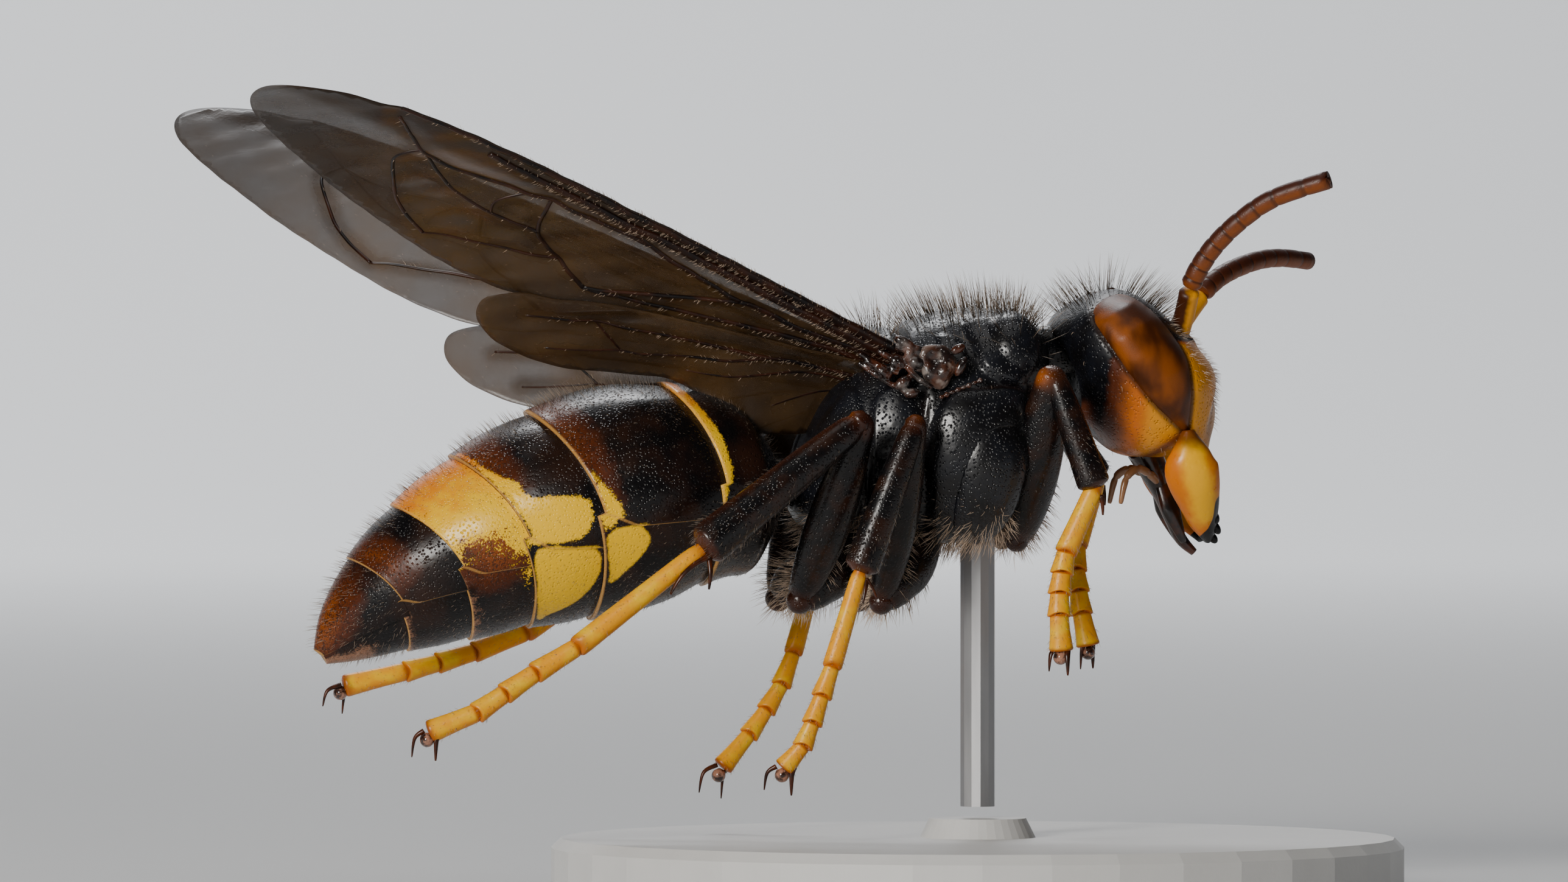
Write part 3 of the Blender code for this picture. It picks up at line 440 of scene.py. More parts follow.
def gaster_ring(s, size, part):
    """One ring of the gaster: its places, how far round each lies, and which are on the belly."""
    columns, sides = gaster_columns()
    edge = SIDE_EDGE - EDGE_RISES[0] * part - EDGE_RISES[1] * float(ease(0.72, 1.0, part))
    above = columns / EDGE_COLUMN * edge
    below = edge + (columns - EDGE_COLUMN) * (1 - edge) / (1 - EDGE_COLUMN)
    round_from_top = np.where(columns <= EDGE_COLUMN, above, below)
    belly = ease(EDGE_COLUMN, EDGE_COLUMN + 0.003, columns)
    places = []
    for far, side, under in zip(round_from_top, sides, belly):
        turn = math.pi * far * side
        along, up, fall, half_height = along_rows(GASTER_STATIONS, min(s + BELLY_SHIFT * under, 10.0))
        fall = math.radians(fall)
        back = np.array((-math.cos(fall), 0.0, -math.sin(fall)))
        rise = np.array((-math.sin(fall), 0.0, math.cos(fall)))
        reach = half_height * size - BELLY_DROP * under * min(1.0, half_height)
        leading = MARGIN_SWEEP * half_height * min(1.0, s / 2.0)
        place = np.array((along, 0.0, up)) + rise * reach * math.cos(turn)
        place[1] += reach * GASTER_WIDTH * math.sin(turn)
        places.append(place - back * leading * math.sin(turn) ** 2)
    return np.array(places), round_from_top, belly


# %% Where the gaster is brown or yellow
# Each patch is an outline: part of the way along its plate, and how far round from the top.
PATCHES = {
    "brown": {
        2: [(0.78, -0.1), (0.74, 0.12), (0.76, 0.26), (0.80, 0.38), (0.84, 0.47), (0.90, 0.55),
            (1.1, 0.55), (1.1, -0.1)],
        3: [(0.40, -0.1), (0.46, 0.10), (0.52, 0.20), (0.60, 0.30), (0.68, 0.38), (0.90, 0.42),
            (1.1, 0.42), (1.1, -0.1)],
        4: [(-0.1, -0.1), (-0.1, 0.60), (1.1, 0.58), (1.1, -0.1)],
        5: [(0.70, -0.1), (0.50, 0.12), (0.38, 0.28), (0.46, 0.42), (0.70, 0.47), (1.1, 0.46), (1.1, -0.1)],
        6: [(0.06, -0.1), (0.10, 0.28), (0.30, 0.42), (0.70, 0.60), (1.1, 0.64), (1.1, -0.1)],
    },
    "yellow": {
        1: [(0.955, -0.1), (0.945, 0.15), (0.935, 0.32), (0.942, 0.42), (0.960, 0.50), (0.985, 0.57),
            (1.1, 0.60), (1.1, -0.1)],
        2: [(0.965, 0.40), (0.93, 0.44), (0.875, 0.50), (0.86, 0.535), (0.90, 0.56), (0.98, 0.555),
            (0.98, 0.40)],
        3: [(0.90, 0.09), (0.90, 0.24), (0.76, 0.34), (0.72, 0.40), (0.40, 0.43), (0.14, 0.46), (0.14, 0.50),
            (0.24, 0.55), (0.50, 0.57), (0.90, 0.55), (0.97, 0.52), (0.97, 0.09)],
    },
    "amber": {
        4: [(-0.1, -0.1), (-0.1, 0.60), (0.10, 0.60), (0.24, 0.55), (0.44, 0.49), (0.70, 0.445), (0.90, 0.46),
            (1.1, 0.47), (1.1, -0.1)],
    },
    "belly": {
        2: [(0.72, 0.575), (0.66, 0.60), (0.64, 0.63), (0.74, 0.68), (0.94, 0.745), (0.955, 0.70),
            (0.955, 0.58)],
        3: [(0.10, 0.615), (0.50, 0.590), (0.93, 0.585), (0.94, 0.86), (0.74, 0.845), (0.36, 0.80),
            (0.12, 0.74), (0.03, 0.68)],
    },
    "pale": {
        4: [(0.94, 0.60), (0.90, 0.72), (0.86, 1.1), (1.1, 1.1), (1.1, 0.60)],
        5: [(0.93, 0.60), (0.89, 0.72), (0.84, 1.1), (1.1, 1.1), (1.1, 0.60)],
        6: [(0.30, 0.74), (0.58, 0.68), (1.1, 0.62), (1.1, 1.1), (0.30, 1.1)],
    },
}
PLATE_LENGTH = (5.5, 3.3, 1.9, 1.8, 1.7, 2.4)      # in millimetres, so that a patch's edge is measured evenly
PLATE_GIRTH = (6.5, 9.0, 8.6, 7.4, 5.6, 3.4)       # from the top to the bottom, likewise


def in_patch(kind, numbers, parts, turns):
    """How deep each place lies in a patch of its plate, in millimetres; outside is negative."""
    depth = np.full(len(parts), -1.0)
    for number, outline in PATCHES[kind].items():
        chosen = numbers == number
        size = np.array((PLATE_LENGTH[number - 1], PLATE_GIRTH[number - 1]))
        flat = np.column_stack([parts[chosen], turns[chosen]]) * size
        depth[chosen] = np.clip(depth_inside(smooth_outline(np.array(outline) * size, 4), flat), -1.0, 1.0)
    return depth


# %% Build the gaster's skin
rings = []
plate_number = []
plate_part = []
from_top = []
belly_side = []
for number, (start, end) in enumerate(GASTER_PLATES, 1):
    if number == 1:
        profile = [(p, 1.0) for p in np.linspace(0, 0.9, 24)] + PLATE_PROFILE[15:]
    elif number == 6:
        profile = PLATE_PROFILE[:12] + [(p, 1.0) for p in (0.78, 0.84, 0.9, 0.95, 0.98, 1.0)]
    else:
        profile = PLATE_PROFILE
    for part, size in profile:
        ring, turn, under = gaster_ring(start + (end - start) * part, size, part)
        dome = [] if rings else [ring.mean(0) * (1 - share) + ring * share + (bulge, 0, 0)
                                 for share, bulge in FRONT_DOME]
        for each in dome + [ring]:
            rings.append(each)
            plate_number.extend([number] * len(ring))
            plate_part.extend([part] * len(ring))
            from_top.extend(turn)
            belly_side.extend(under)
points, faces = ring_form(rings)
gaster = add_piece("gaster_skin", points, faces)
ends = ([1, 6], [0.0, 1.0], [0.5, 0.5], [1.0, 1.0])
for label, values, last in zip(("plate", "part", "turn", "belly"),
                               (plate_number, plate_part, from_top, belly_side), ends):
    note(gaster, **{label: list(values) + last})
for kind in PATCHES:
    depth = in_patch(kind, np.array(plate_number), np.array(plate_part), np.array(from_top))
    note(gaster, **{kind + "_patch": list(depth) + [-1.0, -1.0]})
print("gaster rings:", len(rings))

# %% [markdown]
# ## The thorax
#
# The middle body is a box of muscle, nearly as wide as it is high, with a collar in front, a
# wide back plate, a raised shield behind it and two bulging side plates. Its furrows are
# narrow, so they are pressed into the fused skin afterwards, along routes that are given for
# one side and mirrored.

# %% Sizes of the thorax
THORAX_SECTIONS = [
    # along, top, bottom, half width
    (2.34, 2.46, 1.36, 0.95),
    (2.12, 2.82, 0.60, 1.85),
    (1.68, 2.98, -0.90, 2.52),
    (1.10, 3.05, -2.35, 2.88),
    (0.30, 3.05, -2.95, 3.00),
    (-0.50, 2.88, -3.05, 3.00),
    (-1.10, 2.66, -3.05, 2.92),
    (-1.35, 2.48, -3.05, 2.88),
    (-1.60, 2.56, -3.05, 2.84),
    (-2.10, 2.30, -3.05, 2.70),
    (-2.70, 1.62, -3.00, 2.52),
    (-3.30, 0.74, -2.85, 2.16),
    (-3.78, -0.30, -2.50, 1.55),
    (-3.98, -0.95, -2.20, 0.85),
]
THORAX_WIDEST = 0.46         # how far up a section its widest place is
THORAX_SQUARING = 0.92       # below 1, the sections are a little square
THORAX_SIDES, THORAX_RINGS = 72, 66
THORAX_VOXEL = 0.060
DOME_REACH = 1.25            # how far in from its edge a plate goes on swelling
THORAX_SWELLINGS = [
    # centre and radii of the side plate, the shoulder and the plate over the middle coxa
    ((0.75, 1.55, -0.90), (1.35, 1.55, 1.85)),
    ((1.55, 1.55, 1.70), (0.95, 1.02, 1.10)),
    ((-1.75, 1.62, -1.30), (0.95, 1.22, 1.60)),
]
SCUTELLUM = ((-1.98, 0.0, 1.98), (0.62, 1.25, 0.60))
NECK_ROUTE = [(2.10, 0.0, 1.95), (2.80, 0.0, 1.98), (3.75, 0.0, 2.00)]
NECK_RADIUS = 0.62
WAIST_ROUTE = [(-3.60, 0.0, -1.58), (-4.50, 0.0, -1.60), (-5.40, 0.0, -1.60)]
WAIST_RADIUS = 0.48
COLLAR_FURROW = 3            # which of the furrows runs along the collar's pale rear edge
SIDE_FURROWS = [
    # route, depth, width
    ([(-0.90, 2.9, 0.95), (-0.20, 3.1, 1.02), (0.70, 3.0, 1.02), (1.75, 2.6, 0.95)], 0.14, 0.10),
    ([(-0.90, 2.9, 0.95), (-1.02, 3.0, 0.0), (-1.10, 3.0, -1.50), (-1.05, 2.6, -2.80)], 0.16, 0.11),
    ([(-0.22, 3.1, 0.62), (-0.24, 3.1, 0.0), (-0.32, 3.1, -0.62), (-0.52, 3.0, -1.30)], 0.09, 0.07),
    ([(0.10, 2.9, 2.20), (0.35, 3.0, 1.60), (0.72, 3.0, 1.14), (1.40, 2.7, 0.98)], 0.12, 0.08),
    ([(-2.35, 2.6, 1.05), (-2.45, 2.7, -0.4), (-2.55, 2.5, -2.2)], 0.10, 0.10),
    ([(0.10, 2.9, 2.20), (0.95, 2.1, 2.75), (1.62, 1.0, 3.0), (1.90, 0.0, 3.0)], 0.07, 0.08),
    ([(1.35, 0.95, 2.95), (0.4, 0.90, 3.05), (-0.9, 0.85, 2.75)], 0.035, 0.08),
    ([(-1.35, 0.0, 2.50), (-1.36, 1.4, 2.35), (-1.30, 2.3, 1.75)], 0.09, 0.10),
    ([(-2.60, 0.0, 1.75), (-2.55, 1.2, 1.70), (-2.35, 2.2, 1.20)], 0.08, 0.10),
    ([(-2.75, 0.0, 1.6), (-3.30, 0.0, 0.7), (-3.85, 0.0, -0.5)], 0.07, 0.12),
]
THORAX_PLATES = [
    # outline in side view, how far the plate stands out and how far its middle swells
    ([(-0.28, 0.90), (0.14, 1.05), (1.64, 0.92), (1.78, -0.37), (1.56, -1.64), (1.30, -2.38), (0.80, -2.95),
      (0.14, -3.05), (-0.68, -2.92), (-0.86, -1.64), (-0.92, -0.68), (-0.70, 0.37)], 0.16, 0.34),
    ([(0.22, 2.62), (1.02, 3.00), (1.70, 2.95), (2.20, 2.20), (1.95, 1.36), (1.46, 1.00), (0.93, 1.16),
      (0.54, 1.40), (0.36, 1.97)], 0.13, 0.12),
    ([(-1.18, 0.85), (-1.12, -2.80), (-2.26, -2.85), (-2.36, -0.60), (-2.20, 0.80)], 0.10, 0.03),
    ([(-2.48, 0.90), (-2.44, -2.70), (-3.30, -2.60), (-3.80, -1.90), (-3.95, -0.80),
      (-3.30, 0.40)], 0.09, 0.0),
    ([(-0.55, 2.30), (-0.35, 1.10), (0.10, 1.16), (0.30, 1.60), (0.05, 2.30)], 0.06, 0.0),
]


def squared(values, power):
    return np.sign(values) * np.abs(values) ** power


def thorax_rings():
    turns = np.linspace(0, 2 * math.pi, THORAX_SIDES, endpoint=False)
    rings = []
    for s in np.linspace(0, len(THORAX_SECTIONS) - 1, THORAX_RINGS):
        along, top, bottom, half_width = along_rows(THORAX_SECTIONS, s)
        widest = bottom + (top - bottom) * THORAX_WIDEST
        up = squared(np.cos(turns), THORAX_SQUARING)
        reach = np.where(up > 0, top - widest, widest - bottom)
        out = half_width * squared(np.sin(turns), THORAX_SQUARING)
        rings.append(np.column_stack([np.full(THORAX_SIDES, along), out, widest + reach * up]))
    return rings


def mirror_route(route, sign):
    return [(x, y * sign, z) for x, y, z in route]


# %% Build the thorax with its neck and waist
forms = [ring_form(thorax_rings()), egg_form(*SCUTELLUM)]
for sign in (-1, 1):
    for (x, y, z), radii in THORAX_SWELLINGS:
        forms.append(egg_form((x, y * sign, z), radii))
forms.append(rod_form(smooth_route(NECK_ROUTE, 12), [NECK_RADIUS] * 12, 24))
forms.append(rod_form(smooth_route(WAIST_ROUTE, 12), [WAIST_RADIUS] * 12, 24))
points, normals, faces = fuse("thorax", forms, THORAX_VOXEL, 5)
sideways = ease(0.9, 1.7, np.abs(points[:, 1]))
for outline, height, swell in THORAX_PLATES:
    depth = depth_inside(smooth_outline(outline, 5), points[:, [0, 2]])
    dome = swell * (1 - np.clip(1 - depth / DOME_REACH, 0, 1) ** 2) * (depth > 0)
    points += normals * ((height * ease(0.0, 0.20, depth) + dome) * sideways)[:, None]
sunk = np.zeros(len(points))
seam = np.zeros(len(points))
for i, (route, depth, width) in enumerate(SIDE_FURROWS):
    for sign in (-1, 1):
        amount = groove(points, normals, mirror_route(route, sign), depth, width)
        sunk = np.maximum(sunk, amount)
        if i == COLLAR_FURROW:
            seam = np.maximum(seam, amount)
thorax = add_piece("thorax_skin", points, faces)
note(thorax, sunk=sunk, seam=seam)
thorax_points = points
print("thorax points:", len(points))

# %% [markdown]
# ## The head
#
# Seen from the side a hornet's head is a tall box that leans back, with a flat face. The big
# eyes are bean shaped, because each has a notch for the feeler's root. The face plate, the
# clypeus, swells forward between the jaws. Three small simple eyes sit on the crown.

# %% Sizes of the head
HEAD_CENTRE = np.array((5.2, 0.0, 1.4))
HEAD_TILT = math.radians(30.5)
HEAD_VOXEL = 0.050
HEAD_SQUARING = 0.88
HEAD_SIDES, HEAD_RINGS = 64, 50
HEAD_SECTIONS = [
    # height, front, back, half width
    (-2.62, 0.48, 0.10, 0.50),
    (-2.35, 0.74, -0.20, 1.00),
    (-2.00, 0.98, -0.98, 1.50),
    (-1.50, 1.28, -1.60, 1.98),
    (-0.90, 1.58, -1.88, 2.38),
    (-0.20, 1.52, -2.00, 2.66),
    (0.55, 1.30, -1.98, 2.80),
    (1.25, 1.10, -1.86, 2.74),
    (1.85, 0.80, -1.68, 2.42),
    (2.22, 0.46, -1.50, 1.84),
    (2.42, 0.02, -1.22, 0.95),
]
CLYPEUS = ((6.44, 0.0, 0.35), (0.68, 1.34, 1.12))
NAPE = ((-2.35, 0.0, 1.20), (1.15, 1.75, 1.35))
EYE_MIDDLE = (0.0, 0.35)
EYE_OUTLINE = [
    # forward and up in the head's own axes
    (0.34, 2.12), (0.56, 1.85), (0.74, 1.40), (0.80, 1.00), (0.84, 0.60), (0.86, 0.10), (0.76, -0.35),
    (0.60, -0.75), (0.38, -1.16), (0.14, -1.54), (-0.04, -1.76), (-0.24, -1.44), (-0.50, -0.76),
    (-0.64, -0.20), (-0.73, 0.36), (-0.79, 1.10), (-0.80, 1.65), (-0.72, 2.02), (-0.48, 2.20), (-0.05, 2.24),
]
EYE_BULGE = 0.26             # how far an eye stands out from the skin
EYE_SUNK = 0.08              # and how far its edge lies under it
OCELLI = [(0.34, 0.0, 2.16), (-0.06, -0.42, 2.27), (-0.06, 0.42, 2.27)]
OCELLUS_RADIUS = 0.17
SOCKET = (5.98, 0.62, 2.00)
LIP_ROUTE = [(5.99, -0.10), (5.57, -0.50), (5.00, -0.86), (4.34, -0.62), (3.77, -0.11), (3.48, 0.50)]
CHEEK_START = 3.75           # where the dark back of the head gives way to brown
CROWN_START = 1.7            # above this the dark reaches further forward

HEAD_FORWARD = np.array((math.cos(HEAD_TILT), 0.0, math.sin(HEAD_TILT)))
HEAD_UP = np.array((-math.sin(HEAD_TILT), 0.0, math.cos(HEAD_TILT)))
HEAD_TURN = Matrix.Rotation(-HEAD_TILT, 4, "Y")


def on_head(forward, out, up):
    return HEAD_CENTRE + HEAD_FORWARD * forward + HEAD_UP * up + np.array((0.0, out, 0.0))


def depth_in_egg(points, centre, radii, turn):
    """Roughly how far points are outside an ellipsoid, in millimetres."""
    local = (np.asarray(points) - centre) @ np.array(turn.to_3x3())
    size = np.linalg.norm(local / np.array(radii), axis=1)
    return (size - 1.0) * np.linalg.norm(local, axis=1) / np.maximum(size, 1e-6)


def head_reach(forward, up):
    """Half the head's width at places given forward and up."""
    rows = np.array(HEAD_SECTIONS)
    front, back, half_width = [np.interp(up, rows[:, 0], rows[:, k]) for k in (1, 2, 3)]
    across = np.clip(np.abs(forward - (front + back) / 2) / ((front - back) / 2), 0, 1)
    return half_width * (1 - across ** (2 / HEAD_SQUARING)) ** (HEAD_SQUARING / 2)


def depth_in_eye(points):
    """How deep points of the head's skin lie inside the eyes' outlines; outside is negative."""
    local = points - HEAD_CENTRE
    flat = np.column_stack([local @ HEAD_FORWARD, local @ HEAD_UP])
    depth = depth_inside(smooth_outline(EYE_OUTLINE, 5), flat)
    return np.where(np.abs(points[:, 1]) > 0.8, depth, -1.0)


# %% Build the head's skin
turns = np.linspace(0, 2 * math.pi, HEAD_SIDES, endpoint=False)
rings = []
for s in np.linspace(0, len(HEAD_SECTIONS) - 1, HEAD_RINGS):
    up, front, back, half_width = along_rows(HEAD_SECTIONS, s)
    forward = (front + back) / 2 + (front - back) / 2 * squared(np.cos(turns), HEAD_SQUARING)
    out = half_width * squared(np.sin(turns), HEAD_SQUARING)
    rings.append([on_head(f, o, up) for f, o in zip(forward, out)])
points, normals, faces = fuse("head", [ring_form(rings), egg_form(*CLYPEUS)], HEAD_VOXEL, 5)
nape = np.minimum(0.0, depth_in_egg(points, on_head(*NAPE[0]), NAPE[1], HEAD_TURN))
points -= HEAD_FORWARD * nape[:, None]
in_eye = depth_in_eye(points)
rim = np.exp(-((in_eye + 0.03) / 0.07) ** 2)
points -= normals * (0.05 * rim + 0.22 * ease(0.0, 0.10, in_eye))[:, None]
for sign in (-1, 1):
    socket = np.linalg.norm(points - np.array(SOCKET) * (1, sign, 1), axis=1)
    raised = 0.10 * np.exp(-((socket - 0.42) / 0.10) ** 2)
    points += normals * (raised - 0.16 * np.exp(-(socket / 0.26) ** 2))[:, None]
face_edge = depth_in_egg(points, np.array(CLYPEUS[0]), CLYPEUS[1], Matrix.Identity(4))
border = np.exp(-((face_edge - 0.06) / 0.08) ** 2) * (points[:, 0] > 6.2)
points -= normals * (0.06 * border)[:, None]
head = add_piece("head_skin", points, faces)
forward = (points - HEAD_CENTRE) @ HEAD_FORWARD
cheek = points[:, 0] - CHEEK_START - 1.2 * np.maximum(0.0, points[:, 2] - CROWN_START)
face = ease(0.2, 0.8, forward) * 1.3 - 3.0 * ease(2.05, 2.45, points[:, 2]) * ease(0.2, 0.8, forward)
turned = cheek + (np.minimum(cheek, face) - cheek) * ease(0.2, 0.9, forward)
lip = np.exp(-(distance_to(points[:, [0, 2]], smooth_route(LIP_ROUTE, 30)) / 0.13) ** 2)
note(head, cheek=np.where(forward > 0.2, turned, cheek), lip=lip * (np.abs(points[:, 1]) > 0.5),
     rim=rim, border=border)
head_points = points
print("head points:", len(points))

# %% Build the eyes and the simple eyes
eyes = []
outline = smooth_outline(EYE_OUTLINE, 5) - EYE_MIDDLE
for side, sign in (("right", -1), ("left", 1)):
    rings = []
    for part in np.sin(np.linspace(0.03, math.pi / 2, 30)):
        flat = outline * part + EYE_MIDDLE
        bulge = (EYE_BULGE + EYE_SUNK) * (1 - part ** 2.2) ** 0.5
        out = head_reach(flat[:, 0], flat[:, 1]) + bulge - EYE_SUNK
        rings.append([on_head(f, o * sign, u) for (f, u), o in zip(flat, out)])
    rings.append(np.array(rings[-1]) * (1, 0.9, 1) - HEAD_FORWARD * 0.02)
    eyes.append(add_piece("compound_eye_" + side, *ring_form(rings)))
forms = [egg_form(on_head(*place), (OCELLUS_RADIUS,) * 3, None, 20, 12) for place in OCELLI]
ocelli = add_piece("simple_eyes", *together(forms))
print("eyes made")

# %% [markdown]
# ## Jaws and mouth
#
# The jaws are thick curved blades that hang from the lower corners of the face and cross in
# front of the mouth. Their tips and teeth are black. Behind them hang the tongue and two
# jointed palps.

# %% Sizes of the jaws and mouth
JAW_ROWS = [
    # along, out, up, half width, half thickness
    (6.08, 1.72, -0.10, 0.16, 0.20),
    (6.11, 1.72, -0.36, 0.32, 0.30),
    (6.14, 1.76, -0.66, 0.52, 0.37),
    (6.17, 1.74, -1.05, 0.70, 0.41),
    (6.30, 1.58, -1.50, 0.66, 0.40),
    (6.48, 1.24, -1.98, 0.53, 0.36),
    (6.62, 0.92, -2.36, 0.41, 0.30),
    (6.76, 0.68, -2.66, 0.28, 0.22),
    (6.86, 0.46, -2.92, 0.12, 0.12),
]
JAW_SIDES = 32
JAW_TEETH = [
    # centre, radii, lean
    ((6.92, 0.94, -2.32), (0.13, 0.15, 0.21), 0.5),
    ((7.00, 0.68, -2.60), (0.12, 0.14, 0.22), 0.6),
    ((6.96, 0.46, -2.86), (0.12, 0.12, 0.20), 0.7),
]
JAW_CUTTING_EDGE = [(7.10, -2.00), (7.10, -2.42), (6.98, -2.78), (6.84, -2.94)]      # in side view
JAW_MIDDLE = [(6.14, -0.6), (6.28, -1.3), (6.62, -2.2)]
TONGUE_ROWS = [
    # along, out, up, radius
    (5.25, 0.0, -0.60, 0.56),
    (5.55, 0.0, -1.20, 0.46),
    (5.76, 0.0, -1.75, 0.32),
    (5.98, 0.0, -2.40, 0.22),
    (6.24, 0.0, -2.92, 0.20),
    (6.58, 0.0, -3.26, 0.13),
]
PALP_ROWS = [
    (5.60, 0.25, -1.45, 0.11),
    (5.30, 0.50, -1.22, 0.11),
    (4.98, 0.66, -1.10, 0.11),
    (4.66, 0.76, -1.34, 0.10),
    (4.50, 0.80, -2.00, 0.06),
]
PALP_JOINTS, JOINT_RINGS = 4, 8


def jaw_form(sign):
    rows = smooth_route(JAW_ROWS, 44)
    centres = rows[:, :3] * (1, sign, 1)
    runs = np.gradient(centres, axis=0)
    rings = []
    angles = np.linspace(0, 2 * math.pi, JAW_SIDES, endpoint=False)
    for centre, run, (half_width, half_thick) in zip(centres, runs, rows[:, 3:]):
        run = run / np.linalg.norm(run)
        across = np.array((1.0, 0.0, 0.0)) - run * run[0]
        across /= np.linalg.norm(across)
        thick = np.cross(run, across)
        blade = half_thick * (1.0 - 0.25 * np.cos(angles) ** 4)
        wide = centre + np.outer(half_width * np.cos(angles), across)
        rings.append(wide + np.outer(blade * np.sin(angles), thick))
    return ring_form(rings)


# %% Build the jaws and the mouth
jaws = []
for side, sign in (("right", -1), ("left", 1)):
    forms = [jaw_form(sign)]
    for (x, y, z), radii, lean in JAW_TEETH:
        forms.append(egg_form((x, y * sign, z), radii, Matrix.Rotation(-lean, 4, "Y"), 20, 12))
    points, faces = together(forms)
    jaw = add_piece("jaw_" + side, points, faces)
    seen = points[:, [0, 2]]
    note(jaw, tooth=ease(0.36, 0.20, distance_to(seen, JAW_CUTTING_EDGE)),
         middle=np.exp(-(distance_to(seen, JAW_MIDDLE) / 0.40) ** 2), length=points[:, 2])
    jaws.append(jaw)
tongue_rows = smooth_route(TONGUE_ROWS, 30)
forms = [rod_form(tongue_rows[:, :3], tongue_rows[:, 3], 20, 0.8)]
for sign in (-1, 1):
    palp = smooth_route(PALP_ROWS, PALP_JOINTS * JOINT_RINGS + 1)
    pinch = 1.0 - 0.28 * np.exp(-((np.arange(len(palp)) % JOINT_RINGS) / 0.9) ** 2)
    forms.append(rod_form(palp[:, :3] * (1, sign, 1), palp[:, 3] * pinch, 12))
    lobe = smooth_route([(5.7, 0.26 * sign, -1.5), (5.95, 0.40 * sign, -2.3), (6.25, 0.30 * sign, -3.0)], 14)
    forms.append(rod_form(lobe, np.interp(np.arange(14), [0, 5, 13], [0.20, 0.26, 0.07]), 12, 0.5))
mouth = add_piece("tongue_and_palps", *together(forms))
note(mouth, palp=np.concatenate([np.full(len(form[0]), float(i in (1, 3))) for i, form in enumerate(forms)]))
print("jaws and mouth made")

# %% [markdown]
# ## Feelers
#
# Each feeler has a long first joint, a small ball of a second, and a whip of ten more. The
# whip is a single rod whose radius dips between joints. The number kept for each point says
# how far along a joint it is, so that the material can darken the dips.

# %% Sizes of the feelers
SCAPE_ROUTES = {
    "right": [(5.98, -0.62, 1.98), (6.10, -0.78, 2.55), (6.18, -1.05, 3.10), (6.20, -1.36, 3.50)],
    "left": [(5.98, 0.62, 1.98), (6.28, 0.80, 2.50), (6.66, 1.06, 3.00), (7.02, 1.30, 3.42)],
}
WHIP_ROUTES = {
    "right": [(6.20, -1.42, 3.58), (6.42, -1.62, 4.10), (6.80, -1.84, 4.68), (7.40, -2.16, 5.30),
              (8.20, -2.58, 5.86), (9.52, -3.20, 6.32)],
    "left": [(7.06, 1.36, 3.48), (7.52, 1.78, 3.84), (8.10, 2.32, 4.12), (8.90, 3.12, 4.36),
             (9.70, 3.98, 4.44), (10.62, 5.00, 4.38)],
}
SCAPE_RADIUS = 0.27
WHIP_RADIUS = 0.270
WHIP_JOINTS = 10
WHIP_TAPER = 0.14
# part of the way along a joint, of the whip or of the scape, and its size there
JOINT_PROFILE = [(0.0, 0.925), (0.06, 0.97), (0.20, 1.0), (0.50, 1.005), (0.80, 1.01), (0.93, 0.985)]
WHIP_END = [(0.955, 0.90), (0.985, 0.62), (1.0, 0.25)]
SCAPE_PROFILE = [(0, 0.62), (0.07, 0.72), (0.14, 0.88), (0.5, 1.0), (0.93, 0.98), (1.0, 0.60)]
FEELER_SIDES = 20

# %% Build the feelers
feelers = []
for side in ("right", "left"):
    scape = smooth_route(SCAPE_ROUTES[side], 26)
    scape_sizes = np.interp(np.linspace(0, 1, len(scape)), *np.array(SCAPE_PROFILE).T)
    forms = [rod_form(scape, SCAPE_RADIUS * scape_sizes, FEELER_SIDES)]
    kinds = [np.zeros(len(forms[0][0]))]
    dips = [np.zeros(len(forms[0][0]))]
    centres = []
    radii = []
    part_of_joint = []
    route = WHIP_ROUTES[side]
    for joint in range(WHIP_JOINTS):
        for part, size in JOINT_PROFILE:
            centres.append(along_rows(route, (joint + part) / WHIP_JOINTS * (len(route) - 1)))
            taper = 1.0 - WHIP_TAPER * joint / WHIP_JOINTS
            radii.append(WHIP_RADIUS * size * taper * (0.80 if joint == 0 and part < 0.3 else 1.0))
            part_of_joint.append(1.0 if part < 0.05 or part > 0.9 else 0.0)
    for part, size in WHIP_END:
        centres.append(along_rows(route, part * (len(route) - 1)) if part < 1 else np.array(route[-1], float))
        radii.append(WHIP_RADIUS * size * (1.0 - WHIP_TAPER))
        part_of_joint.append(0.0)
    forms.append(rod_form(centres, radii, FEELER_SIDES))
    kinds.append(np.ones(len(forms[1][0])))
    dips.append(np.append(np.repeat(part_of_joint, FEELER_SIDES), (0, 0)))
    points, faces = together(forms)
    feeler = add_piece("feeler_" + side, points, faces)
    note(feeler, whip=np.concatenate(kinds), dip=np.concatenate(dips))
    feelers.append(feeler)
print("feelers made")

# %% [markdown]
# ## Wings
#
# A wing is a film far thinner than a hair, held flat by hollow veins. The film here is a
# closed sheet that follows a smoothed outline, filled with triangles by a Delaunay
# triangulation. It bends gently, rises and falls with the veins, and wrinkles a little where
# the real one does. The veins are rods along the film, thick at the root and fine at the tip.
# A place on a wing is given as s, out along the span, and t, back from the front edge.

